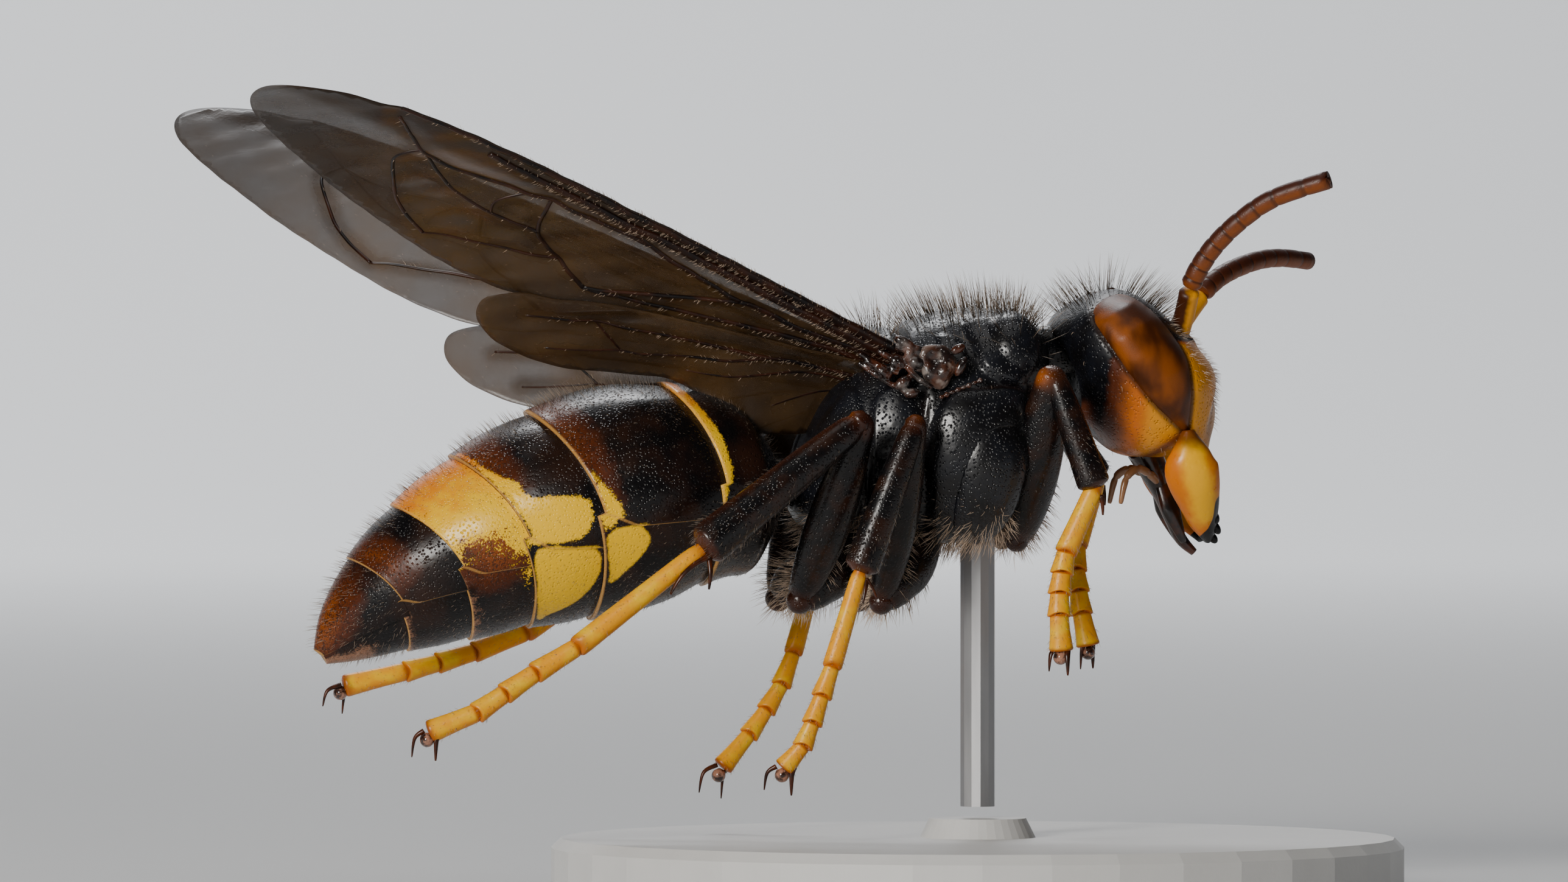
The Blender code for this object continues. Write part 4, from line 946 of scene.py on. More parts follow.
# %% Sizes of the wings
WING_ROOT = np.array((-1.37, 2.60, 1.94))
WING_SPAN = np.array((-0.857, 0.411, 0.311))
WING_CHORD = np.array((-0.509, -0.769, -0.386))
WING_TWIST = {"forewing_right": 0.0, "forewing_left": math.radians(-14),
              "hindwing_right": 0.0, "hindwing_left": math.radians(-15)}
WING_LENGTH = 20.5
WING_CAMBER = 0.12
WING_DROOP = 0.25
CHORD_ARCH = 0.03
FILM_THICKNESS = 0.03
FILM_SPACING = 0.17          # between the points that fill a film
VEIN_SWELL = 1.2             # the veins' radii over the listed ones
VEIN_SIDES = 10
FOREWING_EDGE = [
    (-1.1, 0.15), (0.8, -0.05), (3.3, -0.30), (5.8, -0.62), (8.4, -0.98), (11.0, -1.32), (13.4, -1.66),
    (15.6, -1.86), (17.4, -1.84), (18.9, -1.58), (20.0, -1.05), (20.5, -0.35), (20.2, 0.42), (19.2, 1.12),
    (17.5, 1.92), (15.6, 2.66), (13.6, 3.25), (11.8, 3.66), (10.4, 3.78), (9.0, 3.62), (7.3, 3.02),
    (5.4, 2.52), (3.3, 2.02), (1.4, 1.52), (0.2, 1.12), (-1.1, 1.05),
]
# each vein: its route, its radius at the start and at the end
FOREWING_VEINS = {
    "costa": ([(-1.1, 0.30), (0.8, 0.10), (3.3, -0.15), (5.8, -0.47), (8.4, -0.83), (11.0, -1.18),
               (13.4, -1.52), (15.6, -1.75), (17.2, -1.76)], 0.160, 0.050),
    "radius": ([(-0.9, 0.58), (0.6, 0.42), (3.3, 0.17), (6.0, -0.16), (9.0, -0.55), (12.0, -0.93),
                (14.2, -1.30)],
               0.170, 0.080),
    "stem": ([(-0.9, 0.78), (0.6, 0.80), (2.6, 0.98), (4.8, 0.78)], 0.120, 0.080),
    "basal": ([(4.8, 0.78), (6.4, 0.44), (8.2, 0.02), (9.7, -0.62)], 0.075, 0.060),
    "sector": ([(8.2, 0.02), (10.2, -0.06), (12.2, -0.12), (14.2, 0.04), (15.6, -0.34), (17.0, -1.36)],
               0.070, 0.045),
    "cubital": ([(4.8, 0.78), (6.4, 1.66), (8.3, 2.72)], 0.080, 0.060),
    "cross": ([(8.3, 2.72), (9.5, 2.12), (10.8, 1.28), (11.4, -0.10)], 0.062, 0.050),
    "medial": ([(10.8, 1.28), (12.4, 1.10), (13.8, 0.80), (15.6, -0.34)], 0.056, 0.042),
    "outer": ([(9.5, 2.12), (11.5, 2.52), (13.2, 2.88)], 0.056, 0.036),
    "recurrent": ([(13.2, 2.88), (14.5, 2.10), (15.4, 1.10), (15.9, 0.30), (15.6, -0.34)], 0.048, 0.038),
    "anal": ([(-0.9, 1.0), (0.8, 1.16), (3.4, 1.64), (6.0, 2.26), (8.3, 2.72)], 0.110, 0.055),
    "upper_cross": ([(12.2, -0.12), (12.6, 0.60), (12.4, 1.10)], 0.044, 0.038),
}
HINDWING_EDGE = [
    (-1.2, 0.95), (0.2, 0.96), (1.4, 1.30), (3.3, 1.78), (5.4, 2.28), (7.3, 2.76), (8.6, 3.28), (9.6, 3.58),
    (10.25, 4.15), (10.1, 4.80), (9.4, 5.25), (8.4, 5.48), (7.1, 5.42), (5.8, 5.00), (4.4, 4.44), (3.0, 4.02),
    (1.7, 3.84), (0.6, 3.50), (-0.4, 2.90), (-1.2, 2.30),
]
HINDWING_DROP = 0.09         # the hind wing is hooked under the front wing's rear edge
LOBE_SAG = 1.05              # its lobe hangs over the waist
HINDWING_VEINS = {
    "radius": ([(-0.9, 1.55), (0.4, 1.74), (2.6, 2.36), (5.0, 3.02), (7.2, 3.66), (8.9, 4.30)], 0.080, 0.034),
    "medial": ([(2.6, 2.40), (4.4, 3.38), (6.0, 4.16), (7.8, 4.94)], 0.045, 0.026),
    "cross": ([(7.2, 3.68), (6.0, 4.16)], 0.034, 0.030),
    "anal": ([(-0.9, 1.85), (1.0, 2.16), (2.8, 2.96), (4.2, 3.80)], 0.050, 0.024),
    "lobe": ([(-0.6, 2.10), (0.6, 2.60), (1.8, 3.30)], 0.036, 0.020),
}
WINGS = {"forewing": (FOREWING_EDGE, FOREWING_VEINS), "hindwing": (HINDWING_EDGE, HINDWING_VEINS)}


def wing_places(wing, flat, above):
    """Places on or above a wing for rows of s and t."""
    s, t = np.asarray(flat, float).T
    above = above - HINDWING_DROP * wing.startswith("hindwing")
    span = WING_SPAN / np.linalg.norm(WING_SPAN)
    chord = WING_CHORD - span * WING_CHORD.dot(span)
    chord /= np.linalg.norm(chord)
    chord = np.array(Matrix.Rotation(WING_TWIST[wing], 3, Vector(span)) @ Vector(chord))
    normal = np.cross(chord, span)
    normal *= math.copysign(1.0, normal[2])
    arch = WING_CAMBER * np.sin(math.pi * np.clip(s / WING_LENGTH, 0, 1))
    arch = arch - WING_DROOP * (s / WING_LENGTH) ** 2 - CHORD_ARCH * (t - 1.0) ** 2 + above
    if wing.startswith("hindwing"):
        arch = arch - LOBE_SAG * ease(2.3, 4.0, t) * ease(4.6, 1.8, s)
    places = WING_ROOT + np.outer(s, span) + np.outer(t, chord) + np.outer(arch, normal)
    return places * (1, -1 if wing.endswith("right") else 1, 1)


def film_relief(flat, veins):
    """How far the film stands above its arch: ridges by the veins and faint wrinkles."""
    s, t = flat.T
    relief = 0.012 * np.sin(s * 2.3 + 1.7 * np.sin(t * 1.9)) * np.sin(t * 3.1 + 0.8 * s)
    relief += 0.010 * np.sin(s * 5.1 - t * 4.3)
    for i, (route, start, end) in enumerate(veins.values()):
        near = np.exp(-(distance_to(flat, smooth_route(route, 30)) / 0.34) ** 2)
        relief += (0.06 if i % 2 == 0 else -0.05) * near * ease(0.0, 2.0, s)
    return relief


def film_form(wing, edge, veins):
    """The closed sheet of a wing's film, with the flat place of each point."""
    outline = smooth_outline(edge)
    low = outline.min(0)
    high = outline.max(0)
    grid = np.array([(s + (FILM_SPACING / 2 if row % 2 else 0), t)
                     for row, t in enumerate(np.arange(low[1], high[1], FILM_SPACING * 0.87))
                     for s in np.arange(low[0], high[0], FILM_SPACING)])
    grid = grid[inside(outline, grid)]
    closed = np.vstack([outline, outline[:1]])
    grid = grid[distance_to(grid, closed) > FILM_SPACING * 0.45]
    flat = np.vstack([outline, grid])
    count = len(outline)
    lines = [(i, (i + 1) % count) for i in range(count)]
    filled = delaunay_2d_cdt([Vector(place) for place in flat], lines, [], 1, 1e-5)
    flat = np.array([tuple(place) for place in filled[0]])
    relief = film_relief(flat, veins)
    faces = [tuple(face) for face in filled[2]]
    size = len(flat)
    points = np.vstack([wing_places(wing, flat, relief + FILM_THICKNESS / 2),
                        wing_places(wing, flat, relief - FILM_THICKNESS / 2)])
    sheet = list(faces) + [tuple(i + size for i in reversed(face)) for face in faces]
    edges = {}
    for face in faces:
        for a, b in zip(face, face[1:] + face[:1]):
            edges[(a, b)] = edges.get((a, b), 0) + 1
    for a, b in edges:
        if (b, a) not in edges:
            sheet.append((b, a, a + size, b + size))
    return points, sheet, np.vstack([flat, flat])


# %% Build the films and the veins
films = []
vein_sets = []
for kind, (edge, veins) in WINGS.items():
    for side in ("right", "left"):
        wing = f"{kind}_{side}"
        points, faces, flat = film_form(wing, edge, veins)
        film = add_piece(f"{kind}_film_{side}", points, faces)
        away = [distance_to(flat, smooth_route(route, 30)) for route, start, end in veins.values()]
        note(film, span=flat[:, 0], chord=flat[:, 1], vein=np.min(away, axis=0))
        films.append(film)
        forms = []
        thick = []
        for route, start, end in veins.values():
            line = smooth_route(route, 8 * len(route))
            radii = np.linspace(start, end, len(line)) * VEIN_SWELL
            centres = wing_places(wing, line, film_relief(line, veins))
            forms.append(rod_form(centres, radii, VEIN_SIDES, 0.8))
            thick.append(np.append(np.repeat(radii, VEIN_SIDES), (start, end)))
        vein_sets.append(add_piece(f"{kind}_veins_{side}", *together(forms)))
        note(vein_sets[-1], thick=np.concatenate(thick))
        print(wing, "film points:", len(points))

# %% [markdown]
# ## The plates at the wings' roots
#
# A brown scale, the tegula, covers the joint of the front wing. Behind it lie small shiny
# plates and a leathery fold, on which the wings turn. They are built as overlapping domes.

# %% Build the scales and hinge plates
TEGULA = ((-0.62, 2.92, 1.55), (0.47, 0.22, 0.58))
TEGULA_DISH = 0.13           # how deep its hollow is
HINGE_PLATES = [
    # centre, radii and turn
    ((-1.18, 2.96, 1.62), (0.20, 0.14, 0.16), 0.2), ((-1.36, 2.90, 1.84), (0.13, 0.13, 0.24), 0.1),
    ((-1.46, 2.86, 2.12), (0.30, 0.14, 0.14), 0.5), ((-1.64, 2.82, 1.62), (0.22, 0.13, 0.20), 0.7),
    ((-1.90, 2.72, 1.80), (0.30, 0.12, 0.11), 0.5), ((-1.98, 2.76, 1.36), (0.24, 0.12, 0.16), 0.7),
    ((-0.12, 2.98, 1.96), (0.22, 0.12, 0.12), -0.5), ((-0.04, 3.00, 1.52), (0.13, 0.12, 0.28), 0.5),
    ((-1.52, 2.88, 1.10), (0.16, 0.14, 0.26), 0.9), ((-2.26, 2.62, 1.56), (0.26, 0.12, 0.10), 0.6),
    ((-1.30, 2.94, 0.84), (0.22, 0.13, 0.13), -0.2),
]
HINGE_RIDGES = [
    # route, radius at the start and at the end
    ([(-0.4, 2.62, 1.74), (-0.9, 2.82, 1.86), (-1.7, 2.76, 2.06)], 0.18, 0.13),
    ([(-0.5, 2.68, 1.36), (-1.1, 2.80, 1.52), (-1.9, 2.66, 1.82)], 0.16, 0.11),
    ([(-1.42, 2.88, 1.52), (-1.15, 2.96, 1.22), (-0.78, 3.00, 0.98)], 0.085, 0.070),
    ([(-2.60, 2.50, 1.62), (-2.00, 2.74, 1.18), (-1.46, 2.90, 0.88)], 0.075, 0.075),
    ([(-2.60, 2.56, 1.86), (-2.10, 2.70, 1.56), (-1.62, 2.86, 1.34)], 0.070, 0.070),
]
# middles of the pale spots, partly pale cuticle and partly painted highlights, along and up
PALE_GLINT_SPOTS = np.array([(-1.18, 1.62), (-1.36, 1.86), (-1.10, 1.16), (-1.46, 2.12), (0.0, 1.2), (-1.46, 0.95)])
tegulae = []
hinges = []
for side, sign in (("right", -1), ("left", 1)):
    (x, y, z), radii = TEGULA
    tilt = Matrix.Rotation(-0.22, 4, "Y")
    points, faces = egg_form((x, y * sign, z), radii, tilt, 40, 24)
    away, up = points[:, 0] - x, points[:, 2] - z
    angle = np.arctan2(up, away)
    ragged = 1.0 + 0.08 * np.sin(3 * angle + 0.6) + 0.05 * np.sin(5 * angle + 2.0)
    points[:, 0], points[:, 2] = x + away * ragged, z + up * ragged
    hollow = np.exp(-((away + 0.10) ** 2 + (up - 0.12) ** 2) / 0.05)
    boss = np.exp(-((away - 0.2) ** 2 + (up + 0.2) ** 2) / 0.03)
    points[:, 1] -= sign * TEGULA_DISH * (hollow - 0.6 * boss) * (points[:, 1] * sign > y)
    tegulae.append(add_piece("tegula_scale_" + side, points, faces))
    note(tegulae[-1], edge=np.linalg.norm((points[:, [0, 2]] - (x, z)) / (radii[0], radii[2]), axis=1))
    forms = []
    for (x, y, z), radii, turn in HINGE_PLATES:
        forms.append(egg_form((x, y * sign, z), radii, Matrix.Rotation(turn, 4, "Y"), 24, 14))
    for route, start, end in HINGE_RIDGES:
        line = smooth_route(np.array(route) * (1, sign, 1), 16)
        forms.append(rod_form(line, np.linspace(start, end, 16), 16))
    for i, part in enumerate(np.linspace(0, 1, 8)):
        bead = (0.075, 0.07, 0.06 + 0.02 * (i % 2))
        forms.append(egg_form((-0.55 + part, 3.04 * sign, 0.74 + 0.42 * part), bead, None, 12, 8))
    points, normals, faces = fuse("hinge_" + side, forms, 0.028, 3)
    hinges.append(add_piece("wing_hinge_" + side, points, faces))
    # pale spots round the listed middles: partly pale cuticle and partly painted highlights
    from_glint_spot = np.min([np.linalg.norm(points[:, [0, 2]] - pearl, axis=1) for pearl in PALE_GLINT_SPOTS], axis=0)
    note(hinges[-1], pearl=np.exp(-(from_glint_spot / 0.17) ** 2))
print("scales and hinge plates made")

# %% [markdown]
# ## Legs
#
# A leg is a chain of tubes that hinge in small sockets: the short coxa under the body, a
# small trochanter, the strong femur, the shin or tibia with spurs at its end, and five foot
# joints with two claws and a soft pad. Each tube is lofted through rings along its length. The
# number kept for each point says where along the leg it is.

# %% Sizes of the legs
LEG_PLACES = {
    # coxa, knee, ankle, foot joints and claw tips, given for the left and mirrored for the right
    "front_right": (
        [(1.95, 0.85, -0.70), (1.90, 1.05, -1.75), (1.68, 1.40, -2.92)], (2.27, 3.45, 1.39),
        (3.30, 3.70, -1.55),
        [(2.60, 3.45, -3.20), (2.50, 3.42, -3.72), (2.44, 3.40, -4.24), (2.43, 3.38, -4.80),
         (2.50, 3.32, -5.74)],
        [(2.14, 3.30, -6.10), (2.66, 3.62, -6.22)]),
    "front_left": (
        [(1.95, 0.85, -0.70), (1.90, 1.05, -1.75), (1.78, 1.40, -2.88)], (2.90, 3.50, 1.50),
        (4.72, 3.70, -1.35),
        [(4.14, 3.55, -3.10), (4.10, 3.48, -3.74), (4.16, 3.44, -4.30), (4.24, 3.42, -4.88),
         (4.42, 3.40, -5.76)],
        [(4.16, 3.28, -6.22), (4.62, 3.66, -6.20)]),
    "middle_right": (
        [(-0.70, 0.85, -2.40), (-1.00, 1.20, -3.45), (-1.92, 1.90, -4.50)], (-1.38, 4.15, 0.15),
        (-2.84, 4.35, -3.66),
        [(-3.55, 4.25, -6.08), (-3.81, 4.22, -6.82), (-4.05, 4.20, -7.50), (-4.28, 4.14, -8.08),
         (-4.76, 4.02, -8.66)],
        [(-5.30, 3.86, -9.06), (-4.52, 4.18, -9.22)]),
    "middle_left": (
        [(-0.70, 0.85, -2.40), (-1.00, 1.20, -3.45), (-1.92, 1.90, -4.50)], (-1.30, 4.15, 0.10),
        (-2.55, 4.40, -3.40),
        [(-3.26, 4.30, -5.92), (-3.58, 4.24, -6.74), (-3.98, 4.22, -7.40), (-4.44, 4.18, -8.04),
         (-5.18, 4.08, -8.90)],
        [(-5.86, 3.92, -9.40), (-5.12, 4.26, -9.60)]),
    "hind_right": (
        [(-2.60, 0.85, -2.30), (-3.05, 1.20, -3.55), (-4.02, 1.85, -4.45)], (-2.75, 4.25, 0.18),
        (-6.92, 4.75, -3.08),
        [(-10.11, 4.72, -5.56), (-11.15, 4.66, -6.20), (-11.92, 4.62, -6.72), (-12.62, 4.56, -7.20),
         (-13.84, 4.42, -7.70)],
        [(-14.30, 4.26, -8.18), (-13.62, 4.58, -8.28)]),
    "hind_left": (
        [(-2.60, 0.85, -2.30), (-3.05, 1.20, -3.55), (-4.02, 1.85, -4.45)], (-2.75, 4.25, 0.20),
        (-6.90, 4.80, -3.05),
        [(-10.25, 4.78, -5.38), (-11.60, 4.74, -5.88), (-12.55, 4.70, -6.16), (-13.40, 4.66, -6.38),
         (-15.06, 4.56, -6.76)],
        [(-15.66, 4.40, -7.12), (-15.02, 4.76, -7.36)]),
}
LEG_RADII = {
    # coxa, thickest femur, thickest tibia, foot
    "front": (0.62, 0.66, 0.38, 0.30),
    "middle": (0.64, 0.48, 0.41, 0.26),
    "hind": (0.70, 0.57, 0.50, 0.29),
}
# part of the way along each joint, and its size there
COXA_STATIONS = [(0.0, 0.90), (0.25, 0.98), (0.5, 1.0), (0.75, 0.86), (0.93, 0.62), (1.0, 0.34)]
FEMUR_STATIONS = [(0.0, 0.42), (0.05, 0.60), (0.13, 0.80), (0.35, 1.0), (0.62, 0.96), (0.84, 0.74),
                  (0.94, 0.64), (0.99, 0.54), (1.02, 0.30)]
TIBIA_STATIONS = [(-0.02, 0.40), (0.02, 0.64), (0.05, 0.60), (0.12, 0.78), (0.38, 0.94), (0.72, 1.04),
                  (0.93, 1.12), (0.98, 1.02), (1.01, 0.55)]
TOE_STATIONS = [(-0.04, 0.60), (0.02, 0.78), (0.12, 0.84), (0.45, 0.88), (0.80, 0.98), (0.93, 1.02),
                (0.98, 0.90), (1.0, 0.5)]
FIRST_TOE = [(0, 0.60), (0.08, 0.80), (0.5, 0.88), (0.93, 0.98), (0.98, 0.92), (1.0, 0.6)]
TOE_RINGS = 22
FEMUR_BOW = 0.05
TOE_FLARE = {"front": 0.05, "middle": 0.14, "hind": 0.0}
SPUR_ROOT = np.array((0.15, 0.04, -0.20))
SPURS = {
    # each spur's radius, and its route from the lower corner of the ankle
    "front": [(0.070, [(0.04, 0.0, -0.26), (0.05, 0.0, -0.52)])],
    "middle": [(0.070, [(0.14, 0.02, -0.22), (0.26, 0.04, -0.50)]),
               (0.070, [(-0.05, 0.10, -0.30), (-0.12, 0.14, -0.62)])],
    "hind": [(0.125, [(-0.38, 0.12, -0.20), (-0.74, 0.16, -0.52), (-1.00, 0.12, -0.96)]),
             (0.080, [(0.02, 0.12, -0.42), (-0.02, 0.10, -0.84)])],
}
TOE_LOBE = 0.13              # how far a foot joint's rim reaches forward at its edges
WARM_SPOTS = {
    # from the knee to an orange spot, and from the ankle to a pale one
    "front": ((-0.22, 0.0, -0.16), (0.05, 0.0, 0.15)),
    "middle": ((0.0, 0.0, 0.10), (-0.10, 0.0, 0.10)),
    "hind": ((-0.30, 0.0, 0.10), (-0.15, 0.0, 0.25)),
}
LIMB_SIDES = 28
LIMB_FLATNESS = 0.88
CLAW_CLOSING = 0.16          # how far the listed claw tips move together
CLAW_DROP = 0.14             # and down


def limb_form(start, end, thickest, stations, count, bow=0.0):
    """A limb's tube, broadest in side view, and the part of the way along it of each point."""
    rows = smooth_route(stations, count)
    start, end = np.array(start), np.array(end)
    run = (end - start) / np.linalg.norm(end - start)
    broad = np.cross(run, (0.0, 1.0, 0.0))
    broad /= np.linalg.norm(broad)
    thin = np.cross(run, broad) * LIMB_FLATNESS
    centres = start + rows[:, :1] * (end - start)
    centres[:, 0] += bow * np.sin(math.pi * rows[:, 0])
    angles = np.linspace(0, 2 * math.pi, LIMB_SIDES, endpoint=False)
    section = np.outer(np.cos(angles), broad) + np.outer(np.sin(angles), thin)
    rings = centres[:, None, :] + thickest * rows[:, 1][:, None, None] * section[None, :, :]
    points, faces = ring_form(rings)
    return points, faces, np.append(np.repeat(rows[:, 0], LIMB_SIDES), (rows[0, 0], rows[-1, 0]))


def claw_form(start, end, radius):
    route = smooth_route([start, start + (end - start) * (0.75, 0.75, 0.28), end], 14)
    return rod_form(route, radius * np.linspace(1.0, 0.10, 14) ** 0.7, 12, 0.7)


# %% Build the legs
legs = {}
feet = {}
claws = {}
for key, (coxa, knee, ankle, foot, tips) in LEG_PLACES.items():
    pair, side = key.split("_")
    mirror = np.array((1, -1 if side == "right" else 1, 1))
    coxa, knee, ankle, foot, tips = [np.array(places) * mirror for places in (coxa, knee, ankle, foot, tips)]
    coxa_radius, femur_radius, tibia_radius, foot_radius = LEG_RADII[pair]
    middle = coxa[1] + (coxa[2] - coxa[1]) * 0.55
    route = smooth_route([coxa[0], coxa[1], middle, coxa[2]], 20)
    shares = np.interp(np.linspace(0, 1, 20), *np.array(COXA_STATIONS).T)
    coxa_points, coxa_faces = rod_form(route, coxa_radius * shares, LIMB_SIDES)
    coxa_at = np.append(np.repeat(np.linspace(0, 1, 20), LIMB_SIDES), (0, 1))
    joint = egg_form(coxa[2], (coxa_radius * 0.50,) * 3, None, 24, 14)
    femur = limb_form(coxa[2], knee, femur_radius, FEMUR_STATIONS, 40, FEMUR_BOW)
    tibia = limb_form(knee, ankle, tibia_radius, TIBIA_STATIONS, 44)
    points, faces = together([(coxa_points, coxa_faces), joint, femur[:2], tibia[:2]])
    leg = add_piece("leg_" + key, points, faces)
    orange, pale = np.array(WARM_SPOTS[pair])
    strength = 1.0 if pair == "front" else 0.25
    note(leg, place=np.concatenate([coxa_at, np.full(len(joint[0]), 1.0), femur[2] + 1, tibia[2] + 2]),
         warm=strength * np.exp(-(np.linalg.norm(points - knee - orange, axis=1) / 0.20) ** 2),
         pale=np.exp(-(np.linalg.norm(points - ankle - pale, axis=1) / 0.30) ** 2))
    legs[key] = leg
    forms = []
    along = []
    joints = [ankle, *foot]
    for i, (a, b) in enumerate(zip(joints, joints[1:])):
        size = foot_radius * (1.0 if i in (0, 4) else 0.98)
        stations = np.array(TOE_STATIONS)
        if i == 0:
            stations[:, 1] = np.interp(stations[:, 0], *np.array(FIRST_TOE).T)
        else:
            stations[:, 1] *= 1 + TOE_FLARE[pair] * (stations[:, 0] - 0.5)
        toe_points, toe_faces, at = limb_form(a, b, size, stations, TOE_RINGS)
        angles = np.tile(np.linspace(0, 2 * math.pi, LIMB_SIDES, endpoint=False), TOE_RINGS)
        angles = np.append(angles, (0, 0))
        lobe = (i < 4) * TOE_LOBE * (np.cos(angles) ** 2 - 0.4) * ease(0.55, 1.0, at)
        forms.append((toe_points + np.outer(lobe, (b - a) / np.linalg.norm(b - a)), toe_faces))
        along.append(at + i)
    tip = joints[-1]
    tips = tips + ((tips[0] + tips[1]) / 2 - tips) * CLAW_CLOSING - (0, 0, CLAW_DROP)
    between = (tips[0] + tips[1]) / 2
    pad = tip + (between - tip) * 0.28
    forms.append(egg_form(pad, (0.19, 0.22, 0.19), None, 20, 12))
    along.append(np.full(len(forms[-1][0]), 6.0))
    points, faces = together(forms)
    feet[key] = add_piece("foot_" + key, points, faces)
    note(feet[key], toe=np.concatenate(along))
    root = tip + (joints[-2] - tip) * 0.06
    forms = [claw_form(root + (end - between) * (0.62, 0.62, 0.2), end, 0.105) for end in tips]
    for radius, offsets in SPURS[pair]:
        start = ankle + SPUR_ROOT * mirror
        spur = smooth_route([start, *(start + np.array(offsets) * mirror)], 16)
        forms.append(rod_form(spur, radius * np.linspace(1.0, 0.15, 16) ** 0.6, 12, 0.7))
    claws[key] = add_piece("claws_" + key, *together(forms))
print("legs made:", len(legs))

# %% [markdown]
# ## Hairs
#
# A hornet's hairs are stiff and thin: long and upright on the thorax and crown, short and
# lying back on the gaster, bristly on the legs. Each hair is a slender three-sided spike that
# bends towards its lie. Roots are scattered over a skin by area and by a density, with a
# fixed seed. Every hair has a small patch on an unwrap of its skin, where a colour can be
# baked.

# %% A way to grow hairs
HAIR_PATCH = 0.003           # size of a hair's patch on the unwrap
HAIR_RINGS = [(0.0, 1.0), (0.35, 0.85), (0.70, 0.55)]       # part of the length, and the radius there
LIE_SPREAD = 0.22            # how unevenly the hairs lie
ROOT_DEPTH = 0.02            # how far a hair starts below its skin
# how many hairs, and their radius
HAIRS = {"gaster": (5000, 0.0055), "thorax": (2600, 0.0080), "head": (1000, 0.0065), "leg": (700, 0.0075),
         "foot": (500, 0.0055)}


def skin_points(piece):
    """A piece's points, back in millimetres on the hornet."""
    places = np.empty(len(piece.data.vertices) * 3)
    piece.data.vertices.foreach_get("co", places)
    return places.reshape(-1, 3) / MM - (-ROD_X, 0.0, LIFT)


def skin_normals(piece):
    """The way out at each of a piece's points."""
    ways = np.empty(len(piece.data.vertices) * 3)
    piece.data.vertex_normals.foreach_get("vector", ways)
    return ways.reshape(-1, 3)


class Roots:
    """Hair roots, scattered over a skin by area and by a density for each of its points."""

    def __init__(self, piece, count, density, rng):
        mesh = piece.data
        mesh.calc_loop_triangles()
        triangles = np.empty(len(mesh.loop_triangles) * 3, np.int32)
        mesh.loop_triangles.foreach_get("vertices", triangles)
        triangles = triangles.reshape(-1, 3)
        points = skin_points(piece)
        a, b, c = points[triangles[:, 0]], points[triangles[:, 1]], points[triangles[:, 2]]
        ways_out = np.cross(b - a, c - a)
        area = np.maximum(np.linalg.norm(ways_out, axis=1), 1e-12)
        weight = area * density[triangles].mean(1)
        chosen = rng.choice(len(triangles), count, p=weight / weight.sum())
        u, v = rng.random(count), rng.random(count)
        over = u + v > 1
        u[over], v[over] = 1 - u[over], 1 - v[over]
        shares = np.column_stack([1 - u - v, u, v])
        self.places = a[chosen] * shares[:, :1] + b[chosen] * shares[:, 1:2] + c[chosen] * shares[:, 2:]
        self.ways_out = ways_out[chosen] / area[chosen][:, None]
        self.corners, self.shares = triangles[chosen], shares

    def read(self, values):
        """What each root finds among values that are given for the skin's points."""
        return (np.asarray(values)[self.corners] * self.shares).sum(1)


coats = []


def grow(name, roots, lengths, lie, lean, thickness, tint, unwrap, rng):
    """A coat of bent spikes as one piece: lie is the way they lean, and lean how far."""
    roots, ways_out = roots.places, roots.ways_out
    count = len(roots)
    lie = np.broadcast_to(lie, roots.shape) + rng.normal(0, LIE_SPREAD, roots.shape)
    lie = lie - ways_out * np.sum(lie * ways_out, 1)[:, None]
    lie /= np.maximum(np.linalg.norm(lie, axis=1), 1e-6)[:, None]
    lean = np.broadcast_to(lean, (count,))[:, None]
    start = ways_out * (1 - lean * 0.6) + lie * lean * 0.6
    end = ways_out * (1 - lean) + lie * lean
    start /= np.linalg.norm(start, axis=1)[:, None]
    end /= np.linalg.norm(end, axis=1)[:, None]
    lengths = np.broadcast_to(lengths, (count,))[:, None]
    across = np.cross(start, rng.normal(0, 1, roots.shape))
    across /= np.linalg.norm(across, axis=1)[:, None]
    other = np.cross(start, across)
    under = roots - ways_out * ROOT_DEPTH
    points = np.empty((count, 10, 3))
    for ring, (part, size) in enumerate(HAIR_RINGS):
        middle = under + lengths * (start * part * (1 - part / 2) + end * part * part / 2)
        for corner in range(3):
            angle = 2 * math.pi * corner / 3
            offset = across * math.cos(angle) + other * math.sin(angle)
            points[:, ring * 3 + corner] = middle + offset * (thickness * size)
    points[:, 9] = under + lengths * (start + end) / 2
    pattern = [(0, 2, 1)]
    for ring in (0, 3):
        for k in range(3):
            after = (k + 1) % 3
            pattern.append((ring + k, ring + after, ring + after + 3, ring + k + 3))
    pattern.extend((6 + k, 6 + (k + 1) % 3, 9) for k in range(3))
    faces = [tuple(i * 10 + corner for corner in face) for i in range(count) for face in pattern]
    mesh = bpy.data.meshes.new(name)
    mesh.from_pydata(to_model(points.reshape(-1, 3)).tolist(), [], faces)
    mesh.shade_smooth()
    piece = bpy.data.objects.new(name, mesh)
    bpy.context.scene.collection.objects.link(piece)
    parts = np.append(np.repeat([part for part, size in HAIR_RINGS], 3), 1.0)
    note(piece, tip=np.tile(parts, count), tint=np.repeat(np.broadcast_to(tint, (count,)), 10))
    spread = np.array([(k % 3, k // 3) for k in range(10)]) / 3 * HAIR_PATCH
    places = (np.asarray(unwrap)[:, None, :] % 1.0 * (1 - HAIR_PATCH) + spread).reshape(-1, 2)
    corners = np.empty(len(mesh.loops), np.int32)
    mesh.loops.foreach_get("vertex_index", corners)
    mesh.uv_layers.new(name="OFBake").data.foreach_set("uv", places[corners].astype(np.float32).ravel())
    coats.append(piece)
    print(name, "has", count, "hairs")


def round_the_body(points, centre, low, high):
    """An unwrap round a lengthways axis: the angle, and the part of the length."""
    angle = np.arctan2(points[:, 1] - centre[1], points[:, 2] - centre[2]) / (2 * math.pi) + 0.5
    return np.column_stack([angle, (points[:, 0] - low) / (high - low)])


